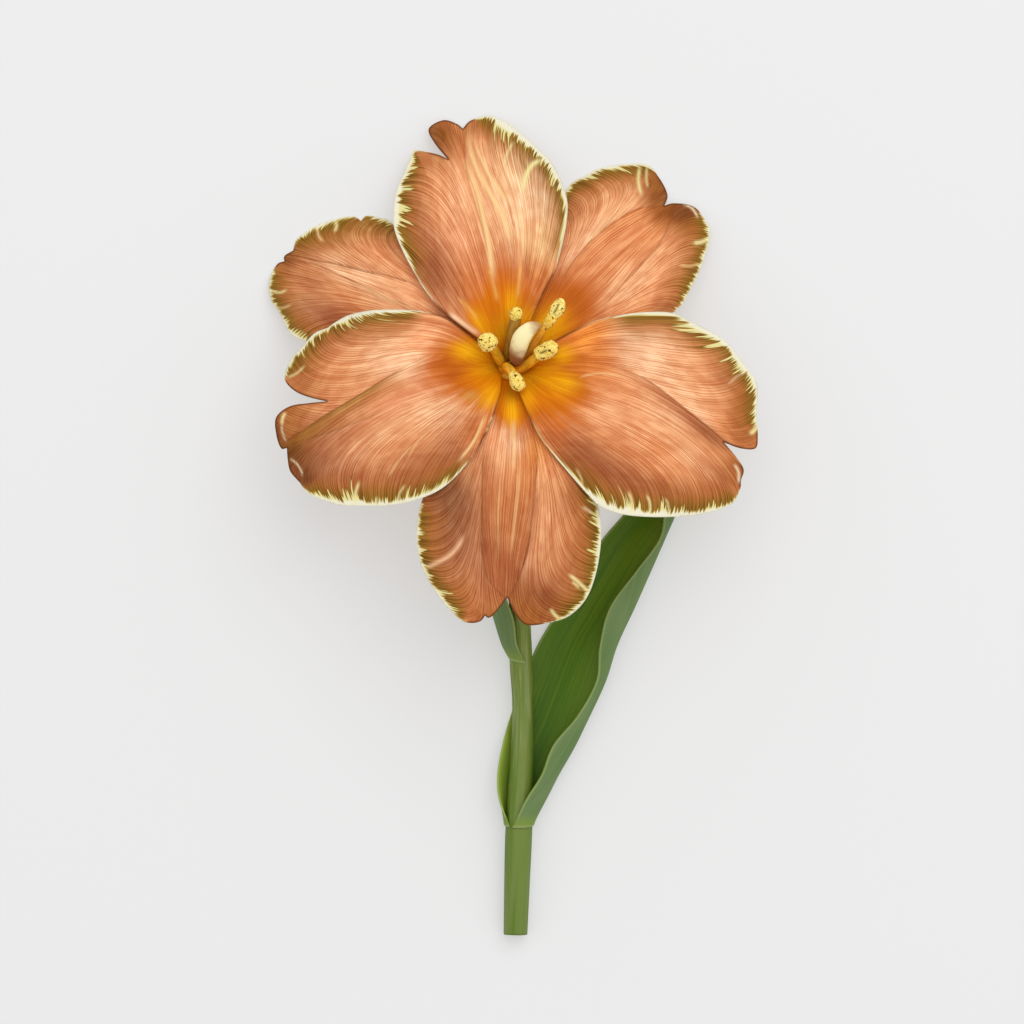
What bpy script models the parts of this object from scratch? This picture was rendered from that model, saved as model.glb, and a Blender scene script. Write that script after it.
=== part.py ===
"""A cut tulip in full bloom, lying on its back: the stem rests on the surface and the open flower faces up.

Everything is laid out in millimetres from the flower's centre, the middle of the receptacle's top:
X runs across the flower, Y along the stem towards the flower's upper edge, Z up from the surface.
"""

import math

import bmesh
import bpy
from mathutils import Vector

MM = 0.001

# Driving dimensions, millimetres
CENTRE_IN_FOOTPRINT = (-1.2, 48.4)
RECEPTACLE_HEIGHT = 18.0
FLOWER_LEAN = math.radians(22.0)
CLEARANCE = 0.3
REST_GAP = 0.02

PETAL_THICKNESS = 0.7
INNER_ROOT_RADIUS = 3.3
OUTER_ROOT_RADIUS = 4.4
ROOT_HALF_ANGLE = math.radians(28.0)
ROOT_LIFT = 0.75
INNER_RISE = 15.0
OUTER_RISE = 10.5
RISE_LENGTH = 11.0
DROOP_POWER = 2.6
REST_SOFTNESS = 0.5
PETAL_ROWS = 9
RIM_STEP = 6.0

LEAF_THICKNESS = 0.7

NECK_RADIUS = 2.9
NECK_START_HEIGHT = 5.0
NECK_BEND_STEPS = 9
RECEPTACLE_RADIUS = 5.2
STEM_BEVEL = 3
SHOOT_BEVEL = 2

# The lying stretch of the stem, from its cut end: (x, y, z, radius)
STEM_ROUTE = (
    (2.0, -172.0, 3.44, 3.6),
    (2.5, -155.0, 4.7, 3.9),
    (3.0, -140.0, 5.25, 4.05),
    (3.9, -119.0, 4.95, 3.5),
    (4.1, -102.5, 4.6, 3.1),
    (3.6, -89.0, 4.7, 3.4),
    (3.1, -72.0, 4.6, 3.1),
    (1.8, -45.0, 4.7, 3.0),
)
# How far the receptacle's swelling runs down from its top, and how much of it is there
RECEPTACLE_SWELLING = ((2.3, 0.35), (0.9, 0.85), (0.0, 1.0))

# Petal outlines, anticlockwise from the petal's root round its tip and back. Each petal is a list of
# smooth runs that meet at sharp corners, which are the splits in its rim.
INNER_TOP_OUTLINE = (
    (
        (5.0, 9.0), (11.0, 23.0), (16.0, 36.5), (17.5, 50.0),
        (13.5, 60.5), (5.0, 69.5), (-6.0, 75.5), (-14.0, 73.0),
    ),
    ((-14.0, 73.0), (-19.0, 74.5), (-23.0, 71.0)),
    ((-23.0, 71.0), (-21.5, 63.5)),
    ((-21.5, 63.5), (-25.0, 65.0), (-28.5, 64.5)),
    ((-28.5, 64.5), (-34.0, 52.0), (-34.0, 40.0), (-27.0, 26.0), (-17.6, 14.9), (-6.6, 6.0)),
)
INNER_RIGHT_OUTLINE = (
    (
        (2.5, -7.0), (8.0, -19.5), (20.0, -35.0), (30.0, -43.5), (46.5, -45.5),
        (60.0, -43.0), (68.5, -37.5), (69.5, -31.0), (64.5, -24.0),
    ),
    (
        (64.5, -24.0), (74.0, -24.0), (74.5, -10.0), (71.0, 0.0),
        (53.5, 14.0), (40.0, 15.5), (20.5, 10.5), (8.0, 4.0),
    ),
)
INNER_LEFT_OUTLINE = (
    (
        (-7.2, 4.8), (-18.2, 13.8), (-35.0, 16.5), (-50.0, 14.0),
        (-62.0, 6.0), (-67.0, -3.0), (-63.0, -8.7), (-54.5, -11.0),
    ),
    (
        (-54.5, -11.0), (-68.0, -15.0), (-69.5, -23.0), (-64.0, -34.0), (-50.0, -41.5),
        (-36.0, -42.0), (-20.0, -37.0), (-9.0, -24.5), (-2.5, -7.5),
    ),
)
OUTER_RIGHT_OUTLINE = (
    ((9.0, 1.5), (30.0, 6.0), (49.0, 15.5), (58.5, 33.0), (60.5, 42.0), (57.0, 48.0), (47.0, 48.5)),
    ((47.0, 48.5), (47.5, 53.0), (43.0, 60.5), (29.0, 59.5), (18.0, 53.5), (9.0, 38.0), (4.0, 14.0)),
)
OUTER_BOTTOM_OUTLINE = (
    (
        (-5.0, -6.5), (-20.0, -27.0), (-27.0, -42.0), (-27.0, -57.0),
        (-20.0, -70.0), (-11.5, -77.0), (-4.5, -75.0), (-0.5, -69.5),
    ),
    (
        (-0.5, -69.5), (5.5, -78.0), (18.0, -75.5), (25.5, -65.0),
        (27.5, -49.5), (26.0, -41.0), (18.0, -25.0), (5.5, -6.5),
    ),
)
OUTER_LEFT_OUTLINE = (
    ((-6.0, 8.5), (-20.0, 30.0), (-35.0, 43.0), (-45.5, 44.0)),
    (
        (-45.5, 44.0), (-49.0, 45.5), (-60.0, 41.5), (-65.0, 34.0), (-72.0, 28.0), (-72.0, 20.0),
        (-69.0, 13.0), (-61.0, 6.5), (-48.0, 2.0), (-28.0, -1.0), (-8.0, -1.0),
    ),
)

# Each petal: its whorl, the way it points (degrees), its reach, and for its two halves, left and right of
# the midrib as seen from the root, how wide they are and how high they arch. Its midrib bows sideways by
# bow, its tip droops and its margins turn down.
PETALS = {
    "inner_petal_top": dict(
        outline=INNER_TOP_OUTLINE, inner=True, direction=101.0, reach=74.0,
        half_width=(23.0, 28.0), arch=(2.4, 2.4), bow=0.0, droop=3.9, turn_down=1.5,
    ),
    "inner_petal_right": dict(
        outline=INNER_RIGHT_OUTLINE, inner=True, direction=-19.8, reach=75.0,
        half_width=(22.0, 35.0), arch=(3.2, 1.6), bow=10.0, droop=9.0, turn_down=1.5,
    ),
    "inner_petal_left": dict(
        outline=INNER_LEFT_OUTLINE, inner=True, direction=200.5, reach=72.0,
        half_width=(35.0, 22.0), arch=(1.8, 3.2), bow=-9.0, droop=9.0, turn_down=1.5,
    ),
    "outer_petal_right": dict(
        outline=OUTER_RIGHT_OUTLINE, inner=False, direction=44.0, reach=72.0,
        half_width=(25.0, 25.0), arch=(2.0, 2.0), bow=0.0, droop=9.5, turn_down=2.0,
    ),
    "outer_petal_bottom": dict(
        outline=OUTER_BOTTOM_OUTLINE, inner=False, direction=269.6, reach=78.0,
        half_width=(27.0, 27.0), arch=(1.8, 1.8), bow=0.0, droop=7.5, turn_down=2.5,
    ),
    "outer_petal_left": dict(
        outline=OUTER_LEFT_OUTLINE, inner=False, direction=152.0, reach=74.0,
        half_width=(24.0, 22.0), arch=(2.0, 2.0), bow=0.0, droop=17.0, turn_down=2.0,
    ),
}
PETAL_WIDEST = 0.58
PETAL_TAPER = 0.66

# The leaves. Each base wraps the stem, from a start angle round a sweep (degrees). Each section after it
# is (y, ((x, z), ...)) from the left margin, under the keel, to the right margin.
LARGE_LEAF = dict(
    wrap=dict(y=-139.5, centre=(3.0, 5.25), stem_radius=4.05, start=128.0, sweep=350.0),
    sections=(
        (-131.0, ((-2.9, 7.0), (-1.2, 2.2), (3.2, 0.42), (8.0, 1.2), (10.9, 5.6), (5.1, 11.0))),
        (-123.5, ((-3.4, 6.0), (-0.9, 1.6), (4.6, 0.4), (10.6, 1.0), (14.8, 5.6), (9.8, 11.0))),
        (-114.5, ((-1.9, 4.2), (1.2, 1.0), (7.6, 0.4), (14.6, 1.2), (19.9, 5.6), (13.4, 10.8))),
        (-105.5, ((0.6, 1.3), (3.6, 0.42), (10.4, 0.42), (17.6, 1.4), (24.2, 5.8), (20.8, 9.2))),
        (-95.0, ((4.4, 0.42), (8.4, 0.4), (14.4, 0.6), (21.4, 2.2), (28.9, 6.2), (26.4, 8.8))),
        (-84.5, ((8.6, 1.6), (12.6, 0.5), (18.2, 0.5), (24.8, 2.4), (32.4, 6.8), (27.4, 10.2))),
        (-73.0, ((15.5, 2.4), (19.4, 0.7), (24.4, 0.5), (30.8, 2.4), (37.7, 7.2), (30.4, 10.8))),
        (-62.0, ((22.3, 2.6), (26.0, 0.8), (30.6, 0.5), (36.4, 2.2), (42.6, 6.2), (38.4, 9.0))),
        (-52.0, ((28.6, 2.4), (32.2, 0.8), (36.0, 0.5), (41.0, 2.0), (46.8, 5.4), (45.6, 7.6))),
        (-42.0, ((37.0, 2.0), (39.8, 0.7), (43.0, 0.5), (46.8, 1.8), (51.0, 4.8), (47.6, 7.8))),
        (-28.0, ((45.4, 1.4), (47.0, 0.7), (48.8, 0.45), (50.8, 1.0), (53.0, 2.8), (53.8, 4.8))),
        (-13.0, ((53.3, 0.7), (53.7, 0.5), (54.1, 0.42), (54.5, 0.5), (54.9, 0.7), (55.3, 1.0))),
    ),
    columns=12,
    rows=26,
)
SMALL_LEAF = dict(
    wrap=dict(y=-90.0, centre=(3.6, 4.7), stem_radius=3.4, start=65.0, sweep=205.0),
    sections=(
        (-84.0, ((2.4, 9.1), (-0.2, 8.0), (-2.0, 5.0), (-0.8, 2.0), (2.0, 0.7))),
        (-77.0, ((1.5, 9.6), (-2.2, 8.4), (-4.2, 5.2), (-2.8, 2.2), (0.2, 1.0))),
        (-69.0, ((-1.2, 10.2), (-4.6, 9.2), (-6.6, 6.0), (-5.4, 2.8), (-2.6, 1.4))),
        (-58.0, ((-4.6, 9.6), (-7.4, 9.0), (-9.2, 6.2), (-8.4, 3.6), (-6.2, 2.2))),
        (-48.0, ((-8.6, 8.6), (-10.0, 8.4), (-11.2, 6.8), (-10.8, 5.2), (-9.8, 4.4))),
        (-41.0, ((-11.6, 7.5), (-11.9, 7.35), (-12.1, 7.1), (-12.1, 6.85), (-12.0, 6.7))),
    ),
    columns=8,
    rows=12,
)

# Stamens and pistil: (x, y, height, radius), the filament or stalk first, then the anther or ovary.
# Heights are from the receptacle's middle, and the first one from its sloping top under that point.
STAMENS = {
    "stamen_1": (
        (-0.67, 1.83, 0.6, 0.6), (-0.2, 3.8, 3.8, 0.8), (0.9, 8.5, 7.6, 1.0), (1.5, 12.6, 10.2, 1.2),
        (1.7, 13.6, 11.0, 1.9), (2.1, 15.4, 12.6, 1.9), (2.3, 16.4, 13.6, 1.0),
    ),
    "stamen_2": (
        (1.94, 0.17, 0.6, 0.6), (3.6, 2.2, 4.2, 0.8), (6.9, 4.7, 7.6, 0.85), (9.8, 9.2, 10.6, 0.7),
        (10.7, 11.2, 11.6, 1.3), (12.6, 14.2, 12.6, 2.1), (14.4, 17.0, 13.4, 2.2), (15.9, 19.4, 13.8, 0.9),
    ),
    "stamen_3": (
        (-1.92, 0.34, 0.6, 0.6), (-2.9, 2.0, 3.8, 1.0), (-4.7, 4.8, 7.4, 1.1), (-5.6, 6.2, 9.6, 1.0),
        (-5.9, 6.6, 10.6, 2.5), (-6.2, 6.8, 12.2, 2.9), (-6.4, 7.0, 13.8, 2.7), (-6.5, 7.1, 14.8, 1.3),
    ),
    "stamen_4": (
        (1.25, -1.49, 0.6, 0.6), (3.0, -1.2, 4.4, 0.9), (7.0, 1.5, 8.6, 1.0), (9.6, 3.0, 10.8, 1.0),
        (10.2, 3.4, 11.8, 2.6), (11.2, 3.9, 13.5, 3.1), (12.0, 4.2, 15.1, 2.7), (12.4, 4.4, 16.1, 1.2),
    ),
    "stamen_5": (
        (-0.67, -1.83, 0.6, 0.6), (-0.6, -2.3, 3.6, 0.9), (0.6, -2.9, 7.4, 1.0), (1.3, -3.8, 9.6, 1.0),
        (1.7, -4.3, 10.6, 1.8), (2.4, -5.3, 12.2, 2.1), (3.0, -6.4, 13.6, 2.0), (3.3, -7.0, 14.2, 1.0),
    ),
    "stamen_6": (
        (1.12, 1.6, 0.6, 0.55), (2.2, 3.2, 2.6, 0.7), (3.2, 5.0, 4.2, 0.7),
        (3.8, 5.8, 4.8, 1.2), (5.0, 7.4, 5.8, 1.4), (5.8, 8.4, 6.4, 0.7),
    ),
}
PISTIL = (
    (0.0, 0.0, 0.6, 0.85), (0.5, 0.2, 3.0, 1.0), (1.4, 0.9, 5.6, 1.4), (2.3, 2.4, 8.3, 2.1),
    (3.9, 5.6, 11.2, 2.5), (6.3, 9.0, 14.0, 2.35), (8.3, 11.0, 15.6, 1.7), (9.4, 11.9, 16.3, 0.8),
)


def to_world(x, y, z):
    """A place in millimetres from the flower's centre, as metres from the middle of the plant's footprint."""
    return Vector((x + CENTRE_IN_FOOTPRINT[0], y + CENTRE_IN_FOOTPRINT[1], z)) * MM


def smooth_step(low, high, value):
    """0 below low, 1 above high, and an easy slope between."""
    t = min(max((value - low) / (high - low), 0.0), 1.0)
    return t * t * (3.0 - 2.0 * t)


def blend(a, b, t):
    """The point that lies a share t of the way from a to b."""
    return tuple(p + (q - p) * t for p, q in zip(a, b))


def spline_point(points, place):
    """A point on the smooth curve through all of the points, for a place from 0 to len(points) - 1."""
    i = min(int(place), len(points) - 2)
    t = place - i
    start, end = points[i], points[i + 1]
    before = points[i - 1] if i > 0 else blend(end, start, 2.0)
    after = points[i + 2] if i + 2 < len(points) else blend(start, end, 2.0)
    return tuple(
        b + 0.5 * t * (c - a + t * (2.0 * a - 5.0 * b + 4.0 * c - d + t * (3.0 * (b - c) + d - a)))
        for a, b, c, d in zip(before, start, end, after)
    )


def smooth_run(points, step):
    """Points about one step apart along the smooth curve through a run of points, both ends included."""
    pieces_per_span = 12
    pieces = pieces_per_span * (len(points) - 1)
    fine = [spline_point(points, k / pieces_per_span) for k in range(pieces + 1)]
    lengths = [0.0]
    for a, b in zip(fine, fine[1:]):
        lengths.append(lengths[-1] + math.dist(a, b))
    count = max(1, round(lengths[-1] / step))
    run = []
    k = 0
    for i in range(count + 1):
        target = lengths[-1] * i / count
        while k < pieces - 1 and lengths[k + 1] < target:
            k += 1
        run.append(blend(fine[k], fine[k + 1], (target - lengths[k]) / (lengths[k + 1] - lengths[k])))
    return run


def rim_points(outline):
    """A petal's whole rim, run after run, with the corners between the runs kept."""
    rim = smooth_run(outline[0], RIM_STEP)
    for run in outline[1:]:
        rim.extend(smooth_run(run, RIM_STEP)[1:])
    return rim


def petal_height(x, y, petal):
    """Height of a petal's middle surface at (x, y): a leaning bowl, with two arched halves and a drooping tip."""
    direction = math.radians(petal["direction"])
    radius = math.hypot(x, y)
    along = x * math.cos(direction) + y * math.sin(direction)
    t = min(max(along / petal["reach"], 0.0), 1.1)
    across = y * math.cos(direction) - x * math.sin(direction) - petal["bow"] * 4.0 * t * (1.0 - t)
    half = 0 if across > 0.0 else 1
    girth = math.sqrt(max(0.05, 1.0 - ((t - PETAL_WIDEST) / PETAL_TAPER) ** 2))
    q = min(abs(across) / (petal["half_width"][half] * girth), 1.0)

    root = INNER_ROOT_RADIUS if petal["inner"] else OUTER_ROOT_RADIUS
    rise = INNER_RISE if petal["inner"] else OUTER_RISE
    z = RECEPTACLE_HEIGHT + ROOT_LIFT - y * math.tan(FLOWER_LEAN)
    z += rise * (1.0 - math.exp(-max(radius - root, 0.0) / RISE_LENGTH))
    z -= petal["droop"] * (radius / petal["reach"]) ** DROOP_POWER
    z += smooth_step(0.12, 0.42, t) * (petal["arch"][half] * math.sin(math.pi * q) - petal["turn_down"] * q**4)
    rest = PETAL_THICKNESS / 2 + REST_GAP
    return rest + REST_SOFTNESS * math.log1p(math.exp((z - rest) / REST_SOFTNESS))


def make_material(name, colour, roughness):
    """A plain finish for one kind of piece."""
    material = bpy.data.materials.new(name)
    material.use_nodes = True
    shader = material.node_tree.nodes["Principled BSDF"]
    shader.inputs["Base Color"].default_value = (*colour, 1.0)
    shader.inputs["Roughness"].default_value = roughness
    material.diffuse_color = (*colour, 1.0)
    return material


def blade_object(name, columns, rows, place, thickness, material, collection):
    """A thin blade: a grid whose every corner (u, v), from 0 to 1, is put at place(u, v), then thickened."""
    mesh = bpy.data.meshes.new(name)
    grid = bmesh.new()
    bmesh.ops.create_grid(grid, x_segments=columns, y_segments=rows, size=0.5)
    for corner in grid.verts:
        corner.co = place(corner.co.x + 0.5, corner.co.y + 0.5)
    grid.to_mesh(mesh)
    grid.free()
    mesh.shade_smooth()
    mesh.set_sharp_from_angle(angle=math.radians(50.0))
    mesh.materials.append(material)
    blade = bpy.data.objects.new(name, mesh)
    collection.objects.link(blade)
    solidify = blade.modifiers.new("thickness", "SOLIDIFY")
    solidify.thickness = thickness * MM
    solidify.offset = 0.0
    return blade


def shoot_object(name, route, bevel, material, collection):
    """A round shoot along a route of (x, y, z, radius), with closed ends."""
    curve = bpy.data.curves.new(name, "CURVE")
    curve.dimensions = "3D"
    curve.bevel_depth = MM
    curve.bevel_resolution = bevel
    curve.use_fill_caps = True
    curve.materials.append(material)
    spline = curve.splines.new("POLY")
    spline.points.add(len(route) - 1)
    for point, (x, y, z, radius) in zip(spline.points, route):
        point.co = (*to_world(x, y, z), 1.0)
        point.radius = radius
    shoot = bpy.data.objects.new(name, curve)
    collection.objects.link(shoot)
    return shoot


def make_petal(name, petal, material, collection):
    """A petal: straight lines run out from its root to every point of its rim, on its own curved surface."""
    rim = rim_points(petal["outline"])
    columns = len(rim) - 1
    direction = math.radians(petal["direction"])
    root_radius = INNER_ROOT_RADIUS if petal["inner"] else OUTER_ROOT_RADIUS

    def place(u, v):
        angle = direction + ROOT_HALF_ANGLE * (2.0 * u - 1.0)
        root = (root_radius * math.cos(angle), root_radius * math.sin(angle))
        x, y = blend(root, rim[round(u * columns)], v**1.5)
        return to_world(x, y, petal_height(x, y, petal))

    return blade_object(name, columns, PETAL_ROWS, place, PETAL_THICKNESS, material, collection)


def wrap_section(wrap, columns):
    """A leaf's base: an arc round the stem and clear of it, as columns + 1 points (x, y, z)."""
    radius = wrap["stem_radius"] + CLEARANCE + LEAF_THICKNESS / 2
    centre_x, centre_z = wrap["centre"]
    arc = []
    for k in range(columns + 1):
        angle = math.radians(wrap["start"] + wrap["sweep"] * k / columns)
        arc.append((centre_x + radius * math.cos(angle), wrap["y"], centre_z + radius * math.sin(angle)))
    return arc


def make_leaf(name, leaf, material, collection):
    """A leaf: smooth lines from its wrapped base to its tip, through every cross-section."""
    columns = leaf["columns"]
    lofted = [wrap_section(leaf["wrap"], columns)]
    for y, section in leaf["sections"]:
        across = [spline_point(section, k / columns * (len(section) - 1)) for k in range(columns + 1)]
        lofted.append([(x, y, z) for x, z in across])

    def place(u, v):
        line = [section[round(u * columns)] for section in lofted]
        x, y, z = spline_point(line, v * (len(line) - 1))
        return to_world(x, y, max(z, LEAF_THICKNESS / 2 + REST_GAP))

    return blade_object(name, columns, leaf["rows"], place, LEAF_THICKNESS, material, collection)


def make_stem(material, collection):
    """The stem lies along the surface, turns up behind the flower and swells into the receptacle."""
    route = [spline_point(STEM_ROUTE, k / 2) for k in range(2 * (len(STEM_ROUTE) - 1) + 1)]
    turn = math.pi / 2 - FLOWER_LEAN
    bend = (RECEPTACLE_HEIGHT - NECK_START_HEIGHT) / (1.0 - math.cos(turn))
    for k in range(NECK_BEND_STEPS):
        angle = turn * k / NECK_BEND_STEPS
        y = bend * (math.sin(angle) - math.sin(turn))
        z = NECK_START_HEIGHT + bend * (1.0 - math.cos(angle))
        route.append((0.6 * (1.0 - k / NECK_BEND_STEPS) ** 2, y, z, NECK_RADIUS))
    for below_top, swelling in RECEPTACLE_SWELLING:
        y = -below_top * math.sin(FLOWER_LEAN)
        z = RECEPTACLE_HEIGHT - below_top * math.cos(FLOWER_LEAN)
        route.append((0.0, y, z, NECK_RADIUS + (RECEPTACLE_RADIUS - NECK_RADIUS) * swelling))
    return shoot_object("stem", route, STEM_BEVEL, material, collection)


def make_flower_shoot(name, points, material, collection):
    """A stamen or the pistil: one round shoot that stands on the receptacle."""
    route = [(x, y, RECEPTACLE_HEIGHT + height, radius) for x, y, height, radius in points]
    x, y, z, radius = route[0]
    route[0] = (x, y, z - y * math.tan(FLOWER_LEAN), radius)
    return shoot_object(name, route, SHOOT_BEVEL, material, collection)


for old in list(bpy.data.objects):
    bpy.data.objects.remove(old, do_unlink=True)
tulip = bpy.data.collections.new("cut_tulip")
bpy.context.scene.collection.children.link(tulip)

petal_skin = make_material("petal_salmon", (0.62, 0.24, 0.12), 0.55)
leaf_skin = make_material("leaf_green", (0.07, 0.16, 0.03), 0.5)
stem_skin = make_material("stem_green", (0.2, 0.28, 0.07), 0.5)
stamen_skin = make_material("stamen_yellow", (0.85, 0.68, 0.2), 0.8)
pistil_skin = make_material("pistil_cream", (0.85, 0.75, 0.5), 0.5)

make_stem(stem_skin, tulip)
make_leaf("leaf_large", LARGE_LEAF, leaf_skin, tulip)
make_leaf("leaf_small", SMALL_LEAF, leaf_skin, tulip)
for petal_name, petal_form in PETALS.items():
    make_petal(petal_name, petal_form, petal_skin, tulip)
for stamen_name, stamen_route in STAMENS.items():
    make_flower_shoot(stamen_name, stamen_route, stamen_skin, tulip)
make_flower_shoot("pistil", PISTIL, pistil_skin, tulip)
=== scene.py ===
"""A cut tulip in full bloom, lying on its back, with every piece finished to look grown.

Lengths are millimetres from the flower's centre, the middle of the receptacle's top, until a mesh is made:
X runs across the flower, Y along the stem towards the flower's upper edge, Z up from the surface. Only the
studio is laid out in metres.
"""

import math

import bpy
import numpy as np
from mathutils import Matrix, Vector, noise
from mathutils.geometry import delaunay_2d_cdt


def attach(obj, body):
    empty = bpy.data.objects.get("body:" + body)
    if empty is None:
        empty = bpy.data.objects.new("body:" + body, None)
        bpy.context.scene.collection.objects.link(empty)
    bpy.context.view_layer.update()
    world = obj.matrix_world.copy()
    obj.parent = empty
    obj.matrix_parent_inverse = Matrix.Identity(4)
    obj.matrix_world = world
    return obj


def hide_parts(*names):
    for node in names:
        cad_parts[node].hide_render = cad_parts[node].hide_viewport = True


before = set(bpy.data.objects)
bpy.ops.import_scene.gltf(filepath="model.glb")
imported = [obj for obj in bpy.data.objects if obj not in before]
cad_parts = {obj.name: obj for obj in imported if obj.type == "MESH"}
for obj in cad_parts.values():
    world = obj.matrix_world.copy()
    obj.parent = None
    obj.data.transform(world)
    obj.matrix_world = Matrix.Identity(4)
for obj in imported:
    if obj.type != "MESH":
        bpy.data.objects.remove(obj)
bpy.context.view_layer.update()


# ---- Studio --------------------------------------------------------------------------------------
# A pale matt table, lit faintly from within, lies under the plant. One wide soft light hangs overhead, with
# even light all round. The camera hangs far above the flower and looks straight down on the open petals.

floor_tone = 0.42
floor_glow = 0.40
floor_reach = 4.0
room_light = 0.78
softbox_width = 1.8
softbox_power = 12.0
softbox_place = (0.35, 0.75, 1.5)
camera_place = (-0.0003, 0.0043, 2.525)
petal_level = 0.025
seen_width = 0.3072
sensor = 36.0

floor_mesh = bpy.data.meshes.new("floor")
floor_corners = [(x * floor_reach, y * floor_reach, 0) for x, y in ((-1, -1), (1, -1), (1, 1), (-1, 1))]
floor_mesh.from_pydata(floor_corners, [], [(0, 1, 2, 3)])
floor = bpy.data.objects.new("floor", floor_mesh)
bpy.context.scene.collection.objects.link(floor)
floor_paint = bpy.data.materials.new("floor_paint")
floor_paint.use_nodes = True
floor_look = {
    "Base Color": (floor_tone, floor_tone, floor_tone, 1), "Emission Color": (1, 1, 1, 1),
    "Emission Strength": floor_glow, "Roughness": 0.9, "Specular IOR Level": 0.1,
}
for label, setting in floor_look.items():
    floor_paint.node_tree.nodes["Principled BSDF"].inputs[label].default_value = setting
floor_mesh.materials.append(floor_paint)

room = bpy.data.worlds.new("room")
room.use_nodes = True
room.node_tree.nodes["Background"].inputs["Color"].default_value = (1, 1, 1, 1)
room.node_tree.nodes["Background"].inputs["Strength"].default_value = room_light
bpy.context.scene.world = room

softbox_light = bpy.data.lights.new("softbox", "AREA")
softbox_light.shape = "DISK"
softbox_light.size = softbox_width
softbox_light.energy = softbox_power
softbox = bpy.data.objects.new("softbox", softbox_light)
softbox.location = softbox_place
softbox.rotation_euler = (-softbox.location).to_track_quat("-Z", "Y").to_euler()
bpy.context.scene.collection.objects.link(softbox)

lens = bpy.data.cameras.new("camera")
lens.sensor_width = sensor
lens.lens = sensor * (camera_place[2] - petal_level) / seen_width
lens.clip_end = 20.0
camera = bpy.data.objects.new("camera", lens)
camera.location = camera_place
bpy.context.scene.collection.objects.link(camera)
bpy.context.scene.camera = camera
bpy.context.scene.view_settings.view_transform = "Standard"


# ---- Stem ----------------------------------------------------------------------------------------
# One fleshy green stem, cut square at its foot. It lies on the floor, turns up behind the flower and swells
# into the receptacle that carries the petals. Faint ridges run along it under a grey bloom.

MM = 0.001
flower_centre = (-1.2, 48.4)
receptacle_height = 18.0
flower_lean = math.radians(22.0)


def to_world(points):
    """Points in millimetres from the flower's centre, as metres in the model's own frame."""
    moved = np.array(points, float)[:, :3]
    moved[:, 0] += flower_centre[0]
    moved[:, 1] += flower_centre[1]
    return moved * MM


def smooth_curve(points, per_span):
    """The smooth curve through all of the points, with per_span steps between each two."""
    points = np.array(points, float)
    padded = np.vstack([2 * points[0] - points[1], points, 2 * points[-1] - points[-2]])
    curve = []
    for i in range(len(points) - 1):
        a, b, c, d = padded[i:i + 4]
        for t in np.arange(per_span) / per_span:
            curve.append(b + 0.5 * t * (c - a + t * (2 * a - 5 * b + 4 * c - d + t * (3 * (b - c) + d - a))))
    curve.append(points[-1])
    return np.array(curve)


def even_steps(curve, step):
    """The same curve, in equal steps of about the given length as it is seen from above."""
    spans = np.linalg.norm(np.diff(curve[:, :2], axis=0), axis=1)
    walked = np.concatenate([[0], np.cumsum(spans)])
    count = max(1, round(walked[-1] / step))
    places = np.linspace(0, walked[-1], count + 1)
    return np.column_stack([np.interp(places, walked, column) for column in curve.T])


def tube(route, sides, relief=None):
    """A round shoot along (x, y, z, radius): points, faces, and each point's angle and place along it."""
    centres = route[:, :3]
    ahead = np.gradient(centres, axis=0)
    ahead /= np.linalg.norm(ahead, axis=1)[:, None]
    side = np.cross(ahead[0], (0, 0, 1))
    if np.linalg.norm(side) < 0.1:
        side = np.array((1.0, 0.0, 0.0))
    walked = np.concatenate([[0], np.cumsum(np.linalg.norm(np.diff(centres, axis=0), axis=1))])
    points, angles, places = [], [], []
    for ring, (centre, forward, radius) in enumerate(zip(centres, ahead, route[:, 3])):
        side = side - forward * side.dot(forward)
        side = side / np.linalg.norm(side)
        up = np.cross(side, forward)
        for k in range(sides):
            angle = 2 * math.pi * k / sides
            bulge = relief(angle, walked[ring], radius) if relief else 0.0
            points.append(centre + (radius + bulge) * (side * math.cos(angle) + up * math.sin(angle)))
            angles.append(angle)
            places.append(walked[ring])
    faces = []
    for ring in range(len(centres) - 1):
        for k in range(sides):
            a, b = ring * sides + k, ring * sides + (k + 1) % sides
            faces.append((b, a, a + sides, b + sides))
    for ring, turn in ((0, -1), (len(centres) - 1, 1)):
        points.append(centres[ring])
        angles.append(0.0)
        places.append(walked[ring])
        middle = len(points) - 1
        for k in range(sides):
            a, b = ring * sides + k, ring * sides + (k + 1) % sides
            faces.append((b, a, middle) if turn > 0 else (a, b, middle))
    return np.array(points), faces, np.array(angles), np.array(places)


def grown_piece(name, points, faces, node, skins, marks):
    """A finished piece in its place: a smooth mesh with its skins and with marks that the skins read."""
    mesh = bpy.data.meshes.new(name)
    mesh.from_pydata([tuple(p) for p in to_world(points)], [], [tuple(f) for f in faces])
    for label, values in marks.items():
        values = np.asarray(values, float)
        if values.ndim == 1:
            mesh.attributes.new(label, "FLOAT", "POINT").data.foreach_set("value", values)
        else:
            mesh.attributes.new(label, "FLOAT_VECTOR", "POINT").data.foreach_set("vector", values.ravel())
    mesh.shade_smooth()
    for skin in skins:
        mesh.materials.append(skin)
    piece = bpy.data.objects.new(name, mesh)
    bpy.context.scene.collection.objects.link(piece)
    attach(piece, "root")
    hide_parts(node)
    return piece


def new_skin(name):
    """A node material: itself, its tree and its shader."""
    skin = bpy.data.materials.new(name)
    skin.use_nodes = True
    return skin, skin.node_tree, skin.node_tree.nodes["Principled BSDF"]


def fill(tree, socket, value):
    """Sets a socket to a number or colour, or joins another node's output to it."""
    if isinstance(value, bpy.types.NodeSocket):
        tree.links.new(value, socket)
    elif isinstance(value, tuple) and len(value) == 3 and socket.type == "RGBA":
        socket.default_value = (*value, 1.0)
    else:
        socket.default_value = value


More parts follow.
